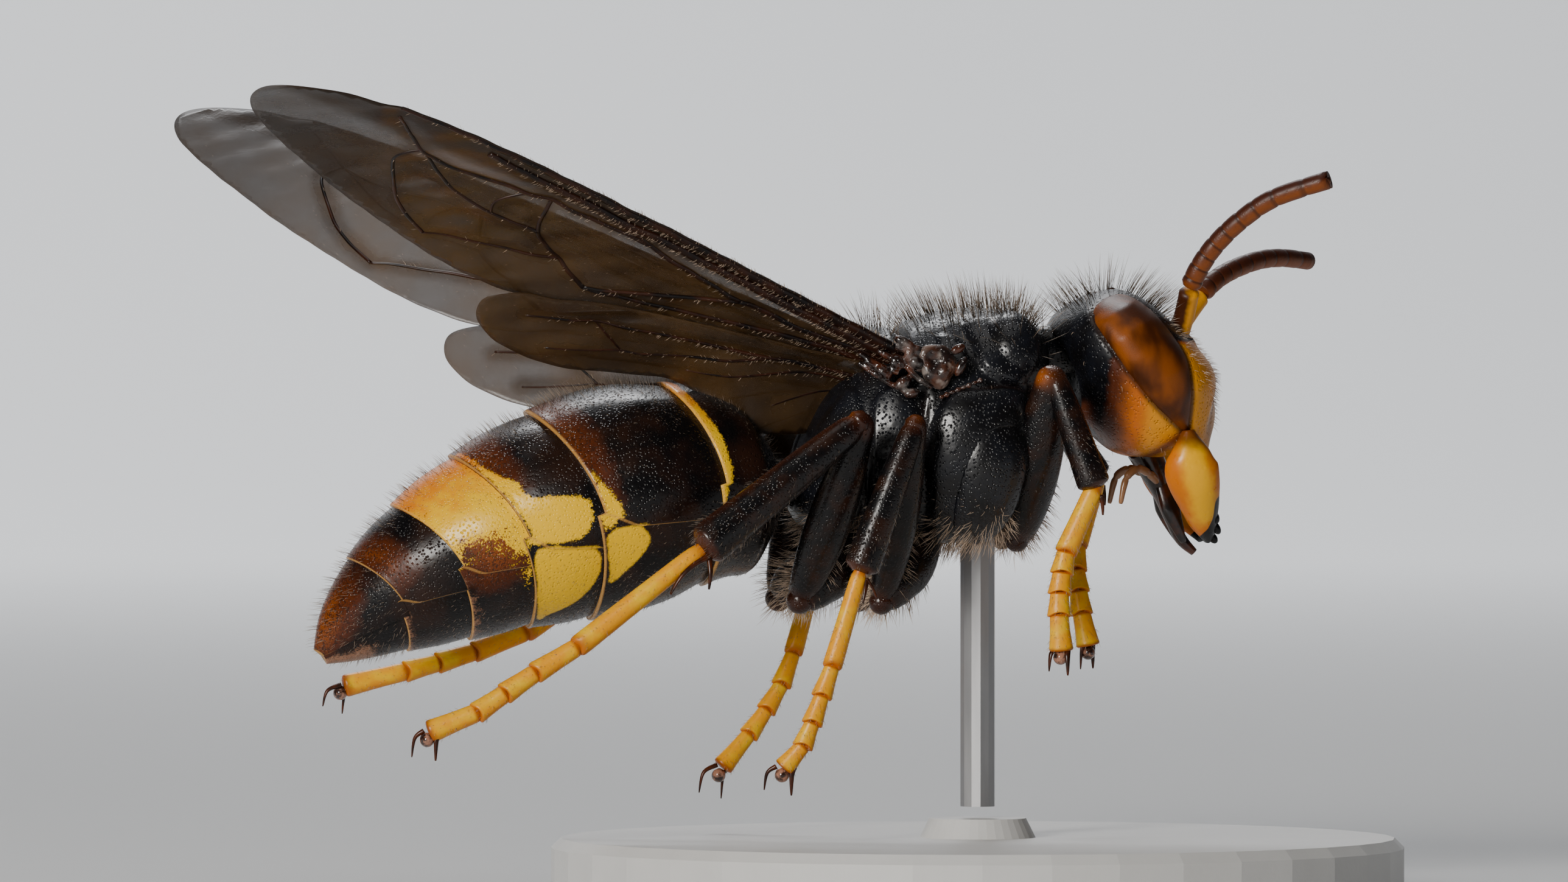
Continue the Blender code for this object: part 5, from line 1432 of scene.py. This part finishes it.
# %% Grow the gaster's hairs
rng = np.random.default_rng(11)
numbers = np.array(plate_number + [1, 6])
parts = np.array(plate_part + [0.0, 1.0])
turns_of = np.array(from_top + [0.5, 0.5])
density = 0.35 + 0.5 * (ease(0.45, 0.05, turns_of) + ease(5.0, 6.2, numbers) + ease(0.66, 0.9, turns_of))
density = density * ease(1.0, 0.90, parts)
count, thickness = HAIRS["gaster"]
roots = Roots(gaster, count, density, rng)
upright = np.maximum(ease(0.22, 0.05, roots.read(turns_of)), ease(5.5, 6.2, roots.read(numbers)) * 0.6)
lengths = (0.11 + 0.23 * upright) * rng.uniform(0.6, 1.3, count)
unwrap = round_the_body(roots.places, (0, 0, -2.5), -16.6, -4.9)
lean = (0.68 - 0.38 * upright) * rng.uniform(0.8, 1.2, count)
tint = 0.15 + 0.4 * rng.random(count)
grow("gaster_hairs", roots, lengths, (-1.0, 0.0, -0.35), lean, thickness, tint, unwrap, rng)

# %% Grow the thorax's hairs
rng = np.random.default_rng(12)
x, y, z = thorax_points.T
ways = skin_normals(thorax)
high = ease(1.2, 2.6, z) * (0.15 + 0.85 * ease(0.35, 0.85, ways[:, 2]))
low = ease(-1.6, -2.6, z) * ease(0.15, 0.6, -ways[:, 2])
density = 0.004 + 1.1 * high + 1.6 * low
density = density * ease(2.9, 2.2, x) * ease(-4.3, -3.6, x)
from_hinge = np.linalg.norm((thorax_points - (-0.9, 0, 1.6)) / (1.6, 99, 0.9), axis=1)
density = density * (1 - 0.8 * np.exp(-from_hinge ** 2))
count, thickness = HAIRS["thorax"]
roots = Roots(thorax, count, density, rng)
z = roots.places[:, 2]
upness = ease(1.0, 2.5, z)
lengths = (0.14 + 0.85 * upness + 0.55 * ease(-1.8, -2.8, z)) * rng.uniform(0.55, 1.15, count)
lean = (0.45 - 0.25 * upness) * rng.uniform(0.6, 1.4, count)
unwrap = round_the_body(roots.places, (0, 0, 0), -5.5, 3.8)
tint = np.clip(0.25 + 0.75 * ease(-1.0, -2.4, z) + rng.normal(0, 0.14, count), 0, 1)
grow("thorax_hairs", roots, lengths, (-0.5, 0.0, 0.1), lean, thickness, tint, unwrap, rng)

# %% Grow the head's hairs
rng = np.random.default_rng(13)
forward = (head_points - HEAD_CENTRE) @ HEAD_FORWARD
density = 0.03 + 1.1 * ease(2.7, 3.1, head_points[:, 2]) + 1.6 * ease(0.7, 1.2, forward)
density = density * ease(-0.03, -0.10, depth_in_eye(head_points))
count, thickness = HAIRS["head"]
roots = Roots(head, count, density, rng)
crown = roots.read(ease(2.6, 3.0, head_points[:, 2]))
front = roots.read(ease(0.6, 1.1, forward))
lengths = (0.16 + 0.78 * crown + 0.08 * front) * rng.uniform(0.55, 1.2, count)
lean = (0.55 - 0.35 * crown) * rng.uniform(0.7, 1.3, count)
tint = np.clip(0.80 - 0.62 * crown + rng.normal(0, 0.12, count), 0, 1)
unwrap = round_the_body(roots.places, HEAD_CENTRE, 2.6, 7.4)
grow("head_hairs", roots, lengths, (0.3, 0.0, -0.9), lean, thickness, tint, unwrap, rng)

# %% Grow the legs' bristles
rng = np.random.default_rng(14)
for number, (key, leg) in enumerate(legs.items()):
    coxa, knee, ankle, foot, tips = LEG_PLACES[key]
    mirror = np.array((1, -1 if key.endswith("right") else 1, 1))
    shin = (np.array(ankle) - knee) * mirror
    place = read_note(leg, "place")
    outside = skin_normals(leg)[:, 1] * mirror[1]
    fuzz = ease(0.25, 0.6, place) * ease(1.5, 1.1, place) * ease(0.55, -0.15, outside)
    density = 0.02 + 0.6 * ease(2.3, 2.9, place) * (1.6 if key.startswith("hind") else 0.6) + 1.6 * fuzz
    count, thickness = HAIRS["leg"]
    roots = Roots(leg, count, density, rng)
    where, fuzz = roots.read(place), roots.read(fuzz)
    lengths = (0.10 + 0.10 * ease(2.0, 2.9, where) + 0.42 * fuzz) * rng.uniform(0.6, 1.3, count)
    unwrap = np.column_stack([rng.random(count) * 0.1 + number * 0.15, where / 3.2])
    tint = 0.05 + 0.25 * rng.random(count) + 0.8 * fuzz
    grow("bristles_" + key, roots, lengths, shin, 0.62 - 0.3 * fuzz, thickness, tint, unwrap, rng)
    toe = read_note(feet[key], "toe")
    on_joints = 1.0 - 0.9 * (toe > 5.5)
    count, thickness = HAIRS["foot"]
    roots = Roots(feet[key], count, on_joints, rng)
    run = (np.array(foot[-1]) - ankle) * mirror
    lengths = 0.13 * rng.uniform(0.6, 1.3, count)
    unwrap = np.column_stack([rng.random(count) * 0.1 + number * 0.15, roots.read(toe) / 6.5])
    grow("foot_hairs_" + key, roots, lengths, run, 0.60, thickness, 0.55, unwrap, rng)

# %% Grow the wings' bristles
rng = np.random.default_rng(15)
along_wing = {"right": WING_SPAN * (1, -1, 1), "left": WING_SPAN}
WING_BRISTLES = {
    # how many, their length, how far they lean, their radius, and how far they brighten
    "forewing_veins": (3000, 0.16, 0.62, 0.0070, 0.95),
    "hindwing_veins": (700, 0.16, 0.62, 0.0070, 0.95),
    "forewing_film": (900, 0.09, 0.88, 0.0026, 0.3),
    "hindwing_film": (300, 0.09, 0.88, 0.0026, 0.3),
}
for piece in vein_sets + films:
    kind, side = piece.name.rsplit("_", 1)
    if kind.endswith("veins"):
        density = ease(0.03, 0.14, read_note(piece, "thick")) + 0.05
    else:
        density = 0.3 + ease(1.2, 0.0, read_note(piece, "vein"))
    count, length, lean, thickness, brightness = WING_BRISTLES[kind]
    roots = Roots(piece, count, density, rng)
    lengths = length * rng.uniform(0.6, 1.2, count)
    out_along = (roots.places - WING_ROOT) @ (WING_SPAN * (1, 0, 1)) / 22 + 0.1
    unwrap = np.column_stack([out_along, roots.places[:, 2] % 1.0])
    tint = 0.25 + brightness * rng.random(count)
    grow("bristles_" + piece.name, roots, lengths, along_wing[side], lean, thickness, tint, unwrap, rng)
print("coat pieces:", len(coats))

# %% [markdown]
# ## Materials of the shell
#
# Insect shell is one hard, thin, layered material everywhere. Its colour lies inside it, and
# its outermost wax makes it satin. So most shell finishes here share a low speckled bump, and
# differ in where they are black, brown, orange or yellow.

# %% Colours
BLACK = (0.0035, 0.0030, 0.0035, 1.0)
# a faint blue black, laid in random clouds over the black shell: painted sheen for its bluish shine
PAINTED_BLUE_SHEEN = (0.006, 0.007, 0.011, 1.0)
DARK_BROWN = (0.022, 0.008, 0.004, 1.0)
RED_BROWN = (0.085, 0.018, 0.004, 1.0)
ORANGE_BROWN = (0.260, 0.062, 0.006, 1.0)
ORANGE = (0.620, 0.145, 0.003, 1.0)
DEEP_YELLOW = (0.860, 0.350, 0.001, 1.0)
YELLOW = (0.920, 0.540, 0.001, 1.0)
PINK = (0.400, 0.190, 0.120, 1.0)


def shell(name, shine=0.34, wax=0.0, **constants):
    """The start of every shell finish: shine is its satin, wax a clear layer over it."""
    finish = Finish(name, Roughness=0.34, Metallic=0.0, Coat_Weight=wax, Coat_Roughness=0.11, **constants)
    finish.set("Specular IOR Level", shine)
    return finish


def speckle(finish, scale, strength, distance):
    """A bump of fine pits and low waves, wired to the shader."""
    pits = finish.pits(scale).rise(0.0, 0.45)
    waves = finish.noise(scale * 0.30, 4.0)
    finish.set("Normal", finish.bump(pits * 0.7 + waves * 0.5, strength, distance))


def cover(finish, colour, roughness, pits=None):
    """Wire up a finish's colour and roughness, and its pits by scale, strength and depth."""
    finish.set("Base Color", colour)
    finish.set("Roughness", roughness)
    if pits:
        speckle(finish, *pits)


# %% Finish the gaster
finish = shell("gaster_shell", 0.34)
part, turn = finish.noted("part"), finish.noted("turn")
grain = finish.noise(3.2, 5.0) - 0.5
fine = finish.noise(11.0, 4.0) - 0.5
cloud = finish.noise(0.9, 3.0)
colour = finish.blend(cloud.rise(0.35, 0.75), BLACK, DARK_BROWN)
brown = (finish.noted("brown_patch") + grain * 0.45 + fine * 0.25).rise(-0.16, 0.34)
colour = finish.blend(brown, colour, RED_BROWN)
deep = (finish.noted("brown_patch") + grain * 0.7 + fine * 0.5).rise(0.30, 1.00)
dust = finish.noise(22.0, 3.0) - 0.5
deep = deep * (1.0 - (dust + fine).rise(0.0, 0.25) * 0.6)
colour = finish.blend(deep * 0.8, colour, ORANGE_BROWN)
colour = finish.blend((fine + dust).rise(-0.06, 0.20) * brown * 0.75, colour, DARK_BROWN)
yellow = (finish.noted("yellow_patch") + grain * 0.18 + fine * 0.16 + dust * 0.16).rise(-0.04, 0.06)
amber = (finish.noted("amber_patch") + grain * 1.1 + fine * 1.2 + dust * 1.1).rise(-0.10, 0.20)
yellow = yellow.most(amber)
rich = finish.blend((turn - 0.28 + grain * 0.3).rise(-0.20, 0.12), (0.72, 0.20, 0.002, 1.0), YELLOW)
colour = finish.blend(yellow, colour, rich)
belly = (finish.noted("belly_patch") + grain * 0.10 + dust * 0.08).rise(-0.04, 0.05)
colour = finish.blend(belly * 0.95, colour, YELLOW)
pale = (finish.noted("pale_patch") + grain * 0.7 + fine * 0.5 + dust * 0.4).rise(-0.02, 0.34)
colour = finish.blend(pale * 0.75, colour, (0.42, 0.20, 0.11, 1.0))
rim = part.rise(0.975, 0.992) * (1.0 - part.rise(1.0, 1.01))
edge_line = finish.noted("belly").rise(0.02, 0.25) * (1.0 - finish.noted("belly").rise(0.45, 0.8))
edge_line = edge_line * finish.noted("plate").rise(1.2, 1.6)
colour = finish.blend(rim.most(edge_line * 0.7) * 0.6, colour, (0.70, 0.36, 0.09, 1.0))
cover(finish, colour, 0.21 + cloud * 0.12 + fine * 0.10, (12.0, 1.0, 0.020))
paint(gaster, finish, replaces=[f"gaster_{i}" for i in range(1, 7)])

# %% Finish the thorax
finish = shell("thorax_shell", 0.55)
cloud = finish.noise(1.3, 4.0)
# clouds of faint blue in the black: painted bluish sheen
colour = finish.blend(cloud.rise(0.35, 0.70), BLACK, PAINTED_BLUE_SHEEN)
colour = finish.blend(finish.noted("sunk") * 0.5, colour, DARK_BROWN)
colour = finish.blend(finish.noted("seam").rise(0.6, 1.0) * 0.6, colour, (0.24, 0.13, 0.06, 1.0))
cover(finish, colour, 0.23 + cloud * 0.13, (12.0, 1.0, 0.030))
paint(thorax, finish, replaces=["thorax", "neck"])

# %% Finish the head
finish = shell("head_shell", 0.40)
cloud = finish.noise(1.6, 4.0)
grain = finish.noise(5.0, 4.0) - 0.5
cheek = finish.noted("cheek") + grain * 0.16
# clouds of faint blue in the black: painted bluish sheen
dark = finish.blend(cloud.rise(0.35, 0.70), BLACK, PAINTED_BLUE_SHEEN)
colour = finish.blend(cheek.rise(0.06, 0.28), dark, RED_BROWN)
colour = finish.blend(cheek.rise(0.30, 0.62), colour, ORANGE_BROWN)
colour = finish.blend(cheek.rise(0.52, 0.90), colour, ORANGE)
colour = finish.blend(cheek.rise(0.90, 1.40) * 0.85, colour, DEEP_YELLOW)
colour = finish.blend(finish.noted("lip") * 0.9, colour, (0.200, 0.055, 0.022, 1.0))
colour = finish.blend(finish.noted("rim") * 0.85, colour, DARK_BROWN)
colour = finish.blend(finish.noted("border") * 0.6, colour, RED_BROWN)
cover(finish, colour, 0.26 + cloud * 0.14, (10.5, 1.0, 0.030))
paint(head, finish, replaces=["head"])

# %% Finish the eyes
finish = shell("eye_facets", 0.28)
streaks = finish.noise(1.1, 3.0, stretch=(1.0, 1.0, 0.45))
colour = finish.blend(streaks.rise(0.38, 0.72), (0.060, 0.014, 0.002, 1.0), (0.280, 0.068, 0.003, 1.0))
cover(finish, colour, 0.36 + streaks * 0.10)
facets = finish.pits(26.0)
finish.set("Normal", finish.bump(1.0 - facets, 0.35, 0.006))
for eye in eyes:
    paint(eye, finish, replaces=[eye.name.replace("compound_", "")])
finish = shell("simple_eye_glass")
cover(finish, finish.blend(finish.noise(3.0), BLACK, RED_BROWN), 0.08)
paint(ocelli, finish)

# %% Finish the jaws and the mouth
finish = shell("jaw_shell")
grain = finish.noise(4.0, 4.0) - 0.5
tooth = (finish.noted("tooth") + grain * 0.3).rise(0.50, 0.72)
root = (finish.noted("length") + grain * 0.2).rise(-0.75, -0.30)
colour = finish.blend((finish.noted("middle") + grain * 0.5).rise(0.15, 0.85), (0.66, 0.17, 0.002, 1.0),
                      (0.93, 0.46, 0.001, 1.0))
colour = finish.blend(root * 0.85, colour, RED_BROWN)
colour = finish.blend(tooth, colour, BLACK)
cover(finish, colour, 0.30 + grain * 0.15, (6.0, 0.35, 0.018))
for jaw in jaws:
    paint(jaw, finish, replaces=[jaw.name.replace("jaw_", "mandible_")])
finish = shell("mouth_shell", 0.5, 0.6)
colour = finish.blend(finish.noise(2.4, 4.0).rise(0.42, 0.70), (0.010, 0.005, 0.004, 1.0), RED_BROWN)
colour = finish.blend(finish.noted("palp") * 0.9, colour, (0.36, 0.17, 0.07, 1.0))
cover(finish, colour, 0.28, (8.0, 0.4, 0.015))
paint(mouth, finish, replaces=["mouthparts"])

# %% Finish the feelers
finish = shell("feeler_shell")
grain = finish.noise(6.0, 4.0) - 0.5
above, front = finish.facing(2), finish.facing(0)
shade = (above + grain * 0.5).rise(-0.7, 0.4)
whip = finish.blend(shade, (0.24, 0.060, 0.008, 1.0), (0.055, 0.012, 0.004, 1.0))
stalk = finish.blend((front + grain * 0.4).rise(-0.35, 0.35), (0.060, 0.015, 0.004, 1.0), DEEP_YELLOW)
colour = finish.blend(finish.noted("whip"), stalk, whip)
colour = finish.blend(finish.noted("dip") * 0.45, colour, DARK_BROWN)
cover(finish, colour, 0.42 + grain * 0.2, (14.0, 0.5, 0.010))
for feeler, side in zip(feelers, ("right", "left")):
    paint(feeler, finish, replaces=["scape_" + side, "flagellum_" + side])

# %% Finish the legs
finish = shell("leg_shell", 0.45)
place = finish.noted("place")
grain = finish.noise(3.4, 5.0) - 0.5
joint = place + grain * 0.05
colour = finish.blend(finish.noise(1.8).rise(0.4, 0.7), BLACK, DARK_BROWN)
trochanter = joint.rise(0.90, 0.97) * (1.0 - joint.rise(1.03, 1.10))
knee = joint.rise(1.90, 1.97) * (1.0 - joint.rise(2.04, 2.12))
colour = finish.blend(trochanter.most(knee) * 0.30, colour, RED_BROWN)
above = finish.facing(2)
# the upward faces of the tibiae turn red-brown: a painted rim of back light along their upper edge
colour = finish.blend(above.rise(0.55, 1.0) * place.rise(1.9, 2.1) * 0.6, colour, RED_BROWN)
colour = finish.blend(joint.rise(2.955, 2.995) * 0.6, colour, RED_BROWN)
colour = finish.blend(finish.noted("warm") * 0.9, colour, ORANGE)
colour = finish.blend(finish.noted("pale") * 0.12, colour, PINK)
cover(finish, colour, 0.27 + grain * 0.12, (13.0, 1.0, 0.020))
for key, leg in legs.items():
    paint(leg, finish, replaces=[f"leg_{key}_{part}" for part in ("coxa", "femur", "tibia")])
finish = shell("foot_shell")
grain = finish.noise(4.0, 4.0) - 0.5
step = finish.add("ShaderNodeMath", {"operation": "FRACT"}, [finish.noted("toe")])
bend = step.rise(0.90, 1.0).most(1.0 - step.rise(0.0, 0.10))
colour = finish.blend(finish.noise(1.9).rise(0.25, 0.6), YELLOW, DEEP_YELLOW)
colour = finish.blend(bend * 0.85, colour, (0.420, 0.080, 0.003, 1.0))
collar = (finish.noted("toe") + grain * 0.12).rise(4.84, 4.97)
colour = finish.blend(collar * 0.8, colour, (0.240, 0.050, 0.004, 1.0))
above = finish.facing(2)
# the undersides of the feet turn a darker orange: painted shade beneath them
colour = finish.blend((0.0 - above + grain * 0.4).rise(0.1, 0.8) * 0.5, colour, ORANGE)
pad = finish.noted("toe").rise(5.2, 5.8)
glass = finish.blend(finish.noise(6.0, 3.0).rise(0.40, 0.62), (0.030, 0.014, 0.010, 1.0), PINK)
colour = finish.blend(pad, colour, glass)
finish.set("Coat Weight", pad * 0.9)
cover(finish, colour, 0.36 + grain * 0.2 - pad * 0.24, (9.0, 0.35, 0.012))
for key, foot in feet.items():
    paint(foot, finish, replaces=[f"leg_{key}_tarsus"])
finish = shell("claw_shell")
cover(finish, finish.blend(finish.noise(3.0).rise(0.35, 0.65), DARK_BROWN, RED_BROWN), 0.26)
for piece in claws.values():
    paint(piece, finish)

# %% Finish the wings' scales and hinges
finish = shell("scale_shell", 0.5, 0.5)
cloud = finish.noise(1.6, 4.0)
colour = finish.blend(cloud.rise(0.38, 0.62), (0.012, 0.006, 0.005, 1.0), (0.090, 0.026, 0.009, 1.0))
# random pale patches on the scale: partly pale cuticle and partly painted highlights
pearl = finish.noise(2.6, 4.0).rise(0.52, 0.66) * 0.55
edge = (finish.noted("edge") + cloud * 0.5).rise(0.95, 1.45)
colour = finish.blend(pearl.most(edge * 0.3), colour, (0.34, 0.28, 0.24, 1.0))
cover(finish, colour, 0.20 + cloud * 0.12, (7.0, 1.0, 0.030))
for piece, side in zip(tegulae, ("right", "left")):
    paint(piece, finish, replaces=["tegula_" + side])
finish = shell("hinge_shell", 0.5, 0.6)
cloud = finish.noise(2.4, 4.0)
colour = finish.blend(cloud.rise(0.42, 0.66), (0.010, 0.005, 0.004, 1.0), (0.085, 0.022, 0.008, 1.0))
# pale spots on the hinge plates: partly pale cuticle and partly painted highlights
pearl = finish.noted("pearl") * finish.noise(3.0, 4.0).rise(0.35, 0.65)
pearl = pearl * 0.5 + finish.noise(5.0, 4.0).rise(0.58, 0.72) * 0.30
colour = finish.blend(pearl.least(0.5), colour, (0.30, 0.26, 0.24, 1.0))
cover(finish, colour, 0.18, (9.0, 0.9, 0.030))
for piece in hinges:
    paint(piece, finish)

# %% [markdown]
# ## Materials of the wings and hairs
#
# A wing's film is clear and stained brown, most of all along the front edge. Here it has a
# partly see-through shader whose alpha rises near the veins and the front. Hairs are glassy
# and golden, darker at the root.

# %% Finish the wings
finish = shell("wing_film")
span, chord, vein = finish.noted("span"), finish.noted("chord"), finish.noted("vein")
cloud = finish.noise(0.7, 4.0)
grain = finish.noise(9.0, 4.0) - 0.5
front = 1.0 - (chord + span * 0.06).rise(-0.3, 0.7)
tip = span.rise(13.0, 19.0)
stain = (1.0 - vein.rise(0.05, 0.45)) * 0.5
colour = finish.blend(cloud.rise(0.3, 0.7), (0.046, 0.024, 0.009, 1.0), (0.085, 0.045, 0.016, 1.0))
colour = finish.blend((front * 0.8).most(tip * 0.6), colour, (0.010, 0.005, 0.003, 1.0))
cover(finish, colour, 0.26 + cloud * 0.10)
alpha = 0.64 + front * 0.30 + stain * 0.24 + tip * 0.06 + cloud * 0.14 + grain * 0.06
finish.set("Alpha", alpha.least(1.0))
finish.set("Normal", finish.bump(finish.noise(3.0, 4.0) * 0.6 + finish.noise(16.0, 2.0) * 0.2, 0.6, 0.03))
for film in films:
    paint(film, finish, replaces=[film.name.replace("_film", "")])
finish = shell("vein_shell")
cloud = finish.noise(1.2, 3.0).rise(0.35, 0.65)
cover(finish, finish.blend(cloud, (0.004, 0.002, 0.002, 1.0), (0.040, 0.011, 0.004, 1.0)), 0.34)
for piece in vein_sets:
    paint(piece, finish)

# %% Finish the hairs
finish = shell("hair_shaft")
tint, tip = finish.noted("tint"), finish.noted("tip")
colour = finish.blend(tint.rise(0.1, 0.9), (0.020, 0.012, 0.007, 1.0), (0.66, 0.48, 0.34, 1.0))
colour = finish.blend(tip * 0.4, colour, (0.74, 0.60, 0.48, 1.0))
cover(finish, colour, 0.38)
for coat in coats:
    paint(coat, finish)

# %% Finish the stand
finish = Finish("stand_plaster", Metallic=0.0)
grain = finish.noise(0.9, 5.0)
finish.set("Base Color", finish.blend(grain, (0.62, 0.615, 0.60, 1.0), (0.70, 0.695, 0.68, 1.0)))
finish.set("Roughness", 0.42 + grain * 0.12)
finish.set("Normal", finish.bump(finish.noise(7.0, 3.0), 0.2, 0.02))
steel = Finish("stand_steel", Metallic=1.0)
brushed = steel.noise(6.0, 4.0, stretch=(1.0, 1.0, 0.08))
steel.set("Base Color", steel.blend(brushed, (0.44, 0.44, 0.45, 1.0), (0.56, 0.56, 0.57, 1.0)))
steel.set("Roughness", 0.38 + brushed * 0.14)
for name, finish in (("stand_base", finish), ("stand_rod", steel)):
    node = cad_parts[name]
    node.data.materials.clear()
    node.data.materials.append(finish.material)
print("finishes made")

# %% [markdown]
#
# A pale floor rises in a soft curve behind the model. One large soft light hangs above, and a
# smaller one to the upper left of the camera draws the crisp highlights on the shell. A third
# is aimed at the backdrop. The camera stands a quarter of a metre away, level with the hornet,
# as in the photo.

# %% Lay the floor
FLOOR_FRONT, FLOOR_SIDE, WALL_TOP = -1.2, 1.5, 1.2          # in metres
BEND_START, BEND_RADIUS = 0.80, 0.20
FLOOR_PROFILE = [(FLOOR_FRONT, 0.0), (BEND_START, 0.0)]
for angle in np.linspace(0, math.pi / 2, 13)[1:]:
    FLOOR_PROFILE.append((BEND_START + BEND_RADIUS * math.sin(angle), BEND_RADIUS * (1 - math.cos(angle))))
FLOOR_PROFILE.append((BEND_START + BEND_RADIUS, WALL_TOP))
mesh = bpy.data.meshes.new("studio_floor")
corners = [(x, y, z) for y, z in FLOOR_PROFILE for x in (-FLOOR_SIDE, FLOOR_SIDE)]
strips = [(2 * i, 2 * i + 1, 2 * i + 3, 2 * i + 2) for i in range(len(FLOOR_PROFILE) - 1)]
mesh.from_pydata(corners, [], strips)
mesh.shade_smooth()
floor = bpy.data.objects.new("studio_floor", mesh)
bpy.context.scene.collection.objects.link(floor)
backdrop = Finish("studio_paper", Roughness=0.85)
tone = backdrop.noise(0.004, 2.0)
backdrop.set("Base Color", backdrop.blend(tone, (0.70, 0.71, 0.72, 1.0), (0.74, 0.745, 0.75, 1.0)))
mesh.materials.append(backdrop.material)
print("floor laid")

# %% Hang the lights
LIGHTS = [
    # name, place, size, watts, spread in degrees, colour, and what it is aimed at
    ("soft_fill", (-0.05, -0.08, 0.55), 0.40, 0.30, 160, (1.0, 0.98, 0.95), (0.0, 0.0, 0.012)),
    ("key", (-0.205, -0.25, 0.10), 0.09, 0.76, 160, (1.0, 0.97, 0.92), (0.0, 0.0, 0.012)),
    ("backdrop_wash", (0.0, 0.65, 0.75), 0.40, 7.50, 180, (0.97, 0.98, 1.0), (0.0, 1.00, 0.10)),
]
for name, place, size, watts, spread, tone, target in LIGHTS:
    lamp = bpy.data.lights.new(name, "AREA")
    lamp.shape = "DISK"
    lamp.size = size
    lamp.energy = watts
    lamp.spread = math.radians(spread)
    lamp.color = tone
    holder = bpy.data.objects.new(name, lamp)
    holder.location = place
    aim = Vector(target) - Vector(place)
    holder.rotation_euler = aim.to_track_quat("-Z", "Y").to_euler()
    bpy.context.scene.collection.objects.link(holder)
ROOM_COLOUR, ROOM_LIGHT = (0.80, 0.84, 0.90, 1.0), 0.04
world = bpy.data.worlds.new("studio")
world.use_nodes = True
room = world.node_tree.nodes["Background"]
room.inputs["Color"].default_value = ROOM_COLOUR
room.inputs["Strength"].default_value = ROOM_LIGHT
bpy.context.scene.world = world
print("lights hung")

# %% Set up the camera
CAMERA_PLACE = Vector((-0.0420, -0.24725, 0.01182))
CAMERA_YAW = math.radians(8.5)
LENS, SENSOR_WIDTH = 223.2, 36.0             # in millimetres
NEAREST = 0.01               # nothing nearer than this is drawn, in metres
camera_data = bpy.data.cameras.new("camera")
camera_data.lens = LENS
camera_data.sensor_width = SENSOR_WIDTH
camera_data.clip_start = NEAREST
camera_data.dof.use_dof = False
camera = bpy.data.objects.new("camera", camera_data)
camera.location = CAMERA_PLACE
camera.rotation_euler = (math.pi / 2, 0.0, -CAMERA_YAW)
bpy.context.scene.collection.objects.link(camera)
bpy.context.scene.camera = camera
print("camera placed")
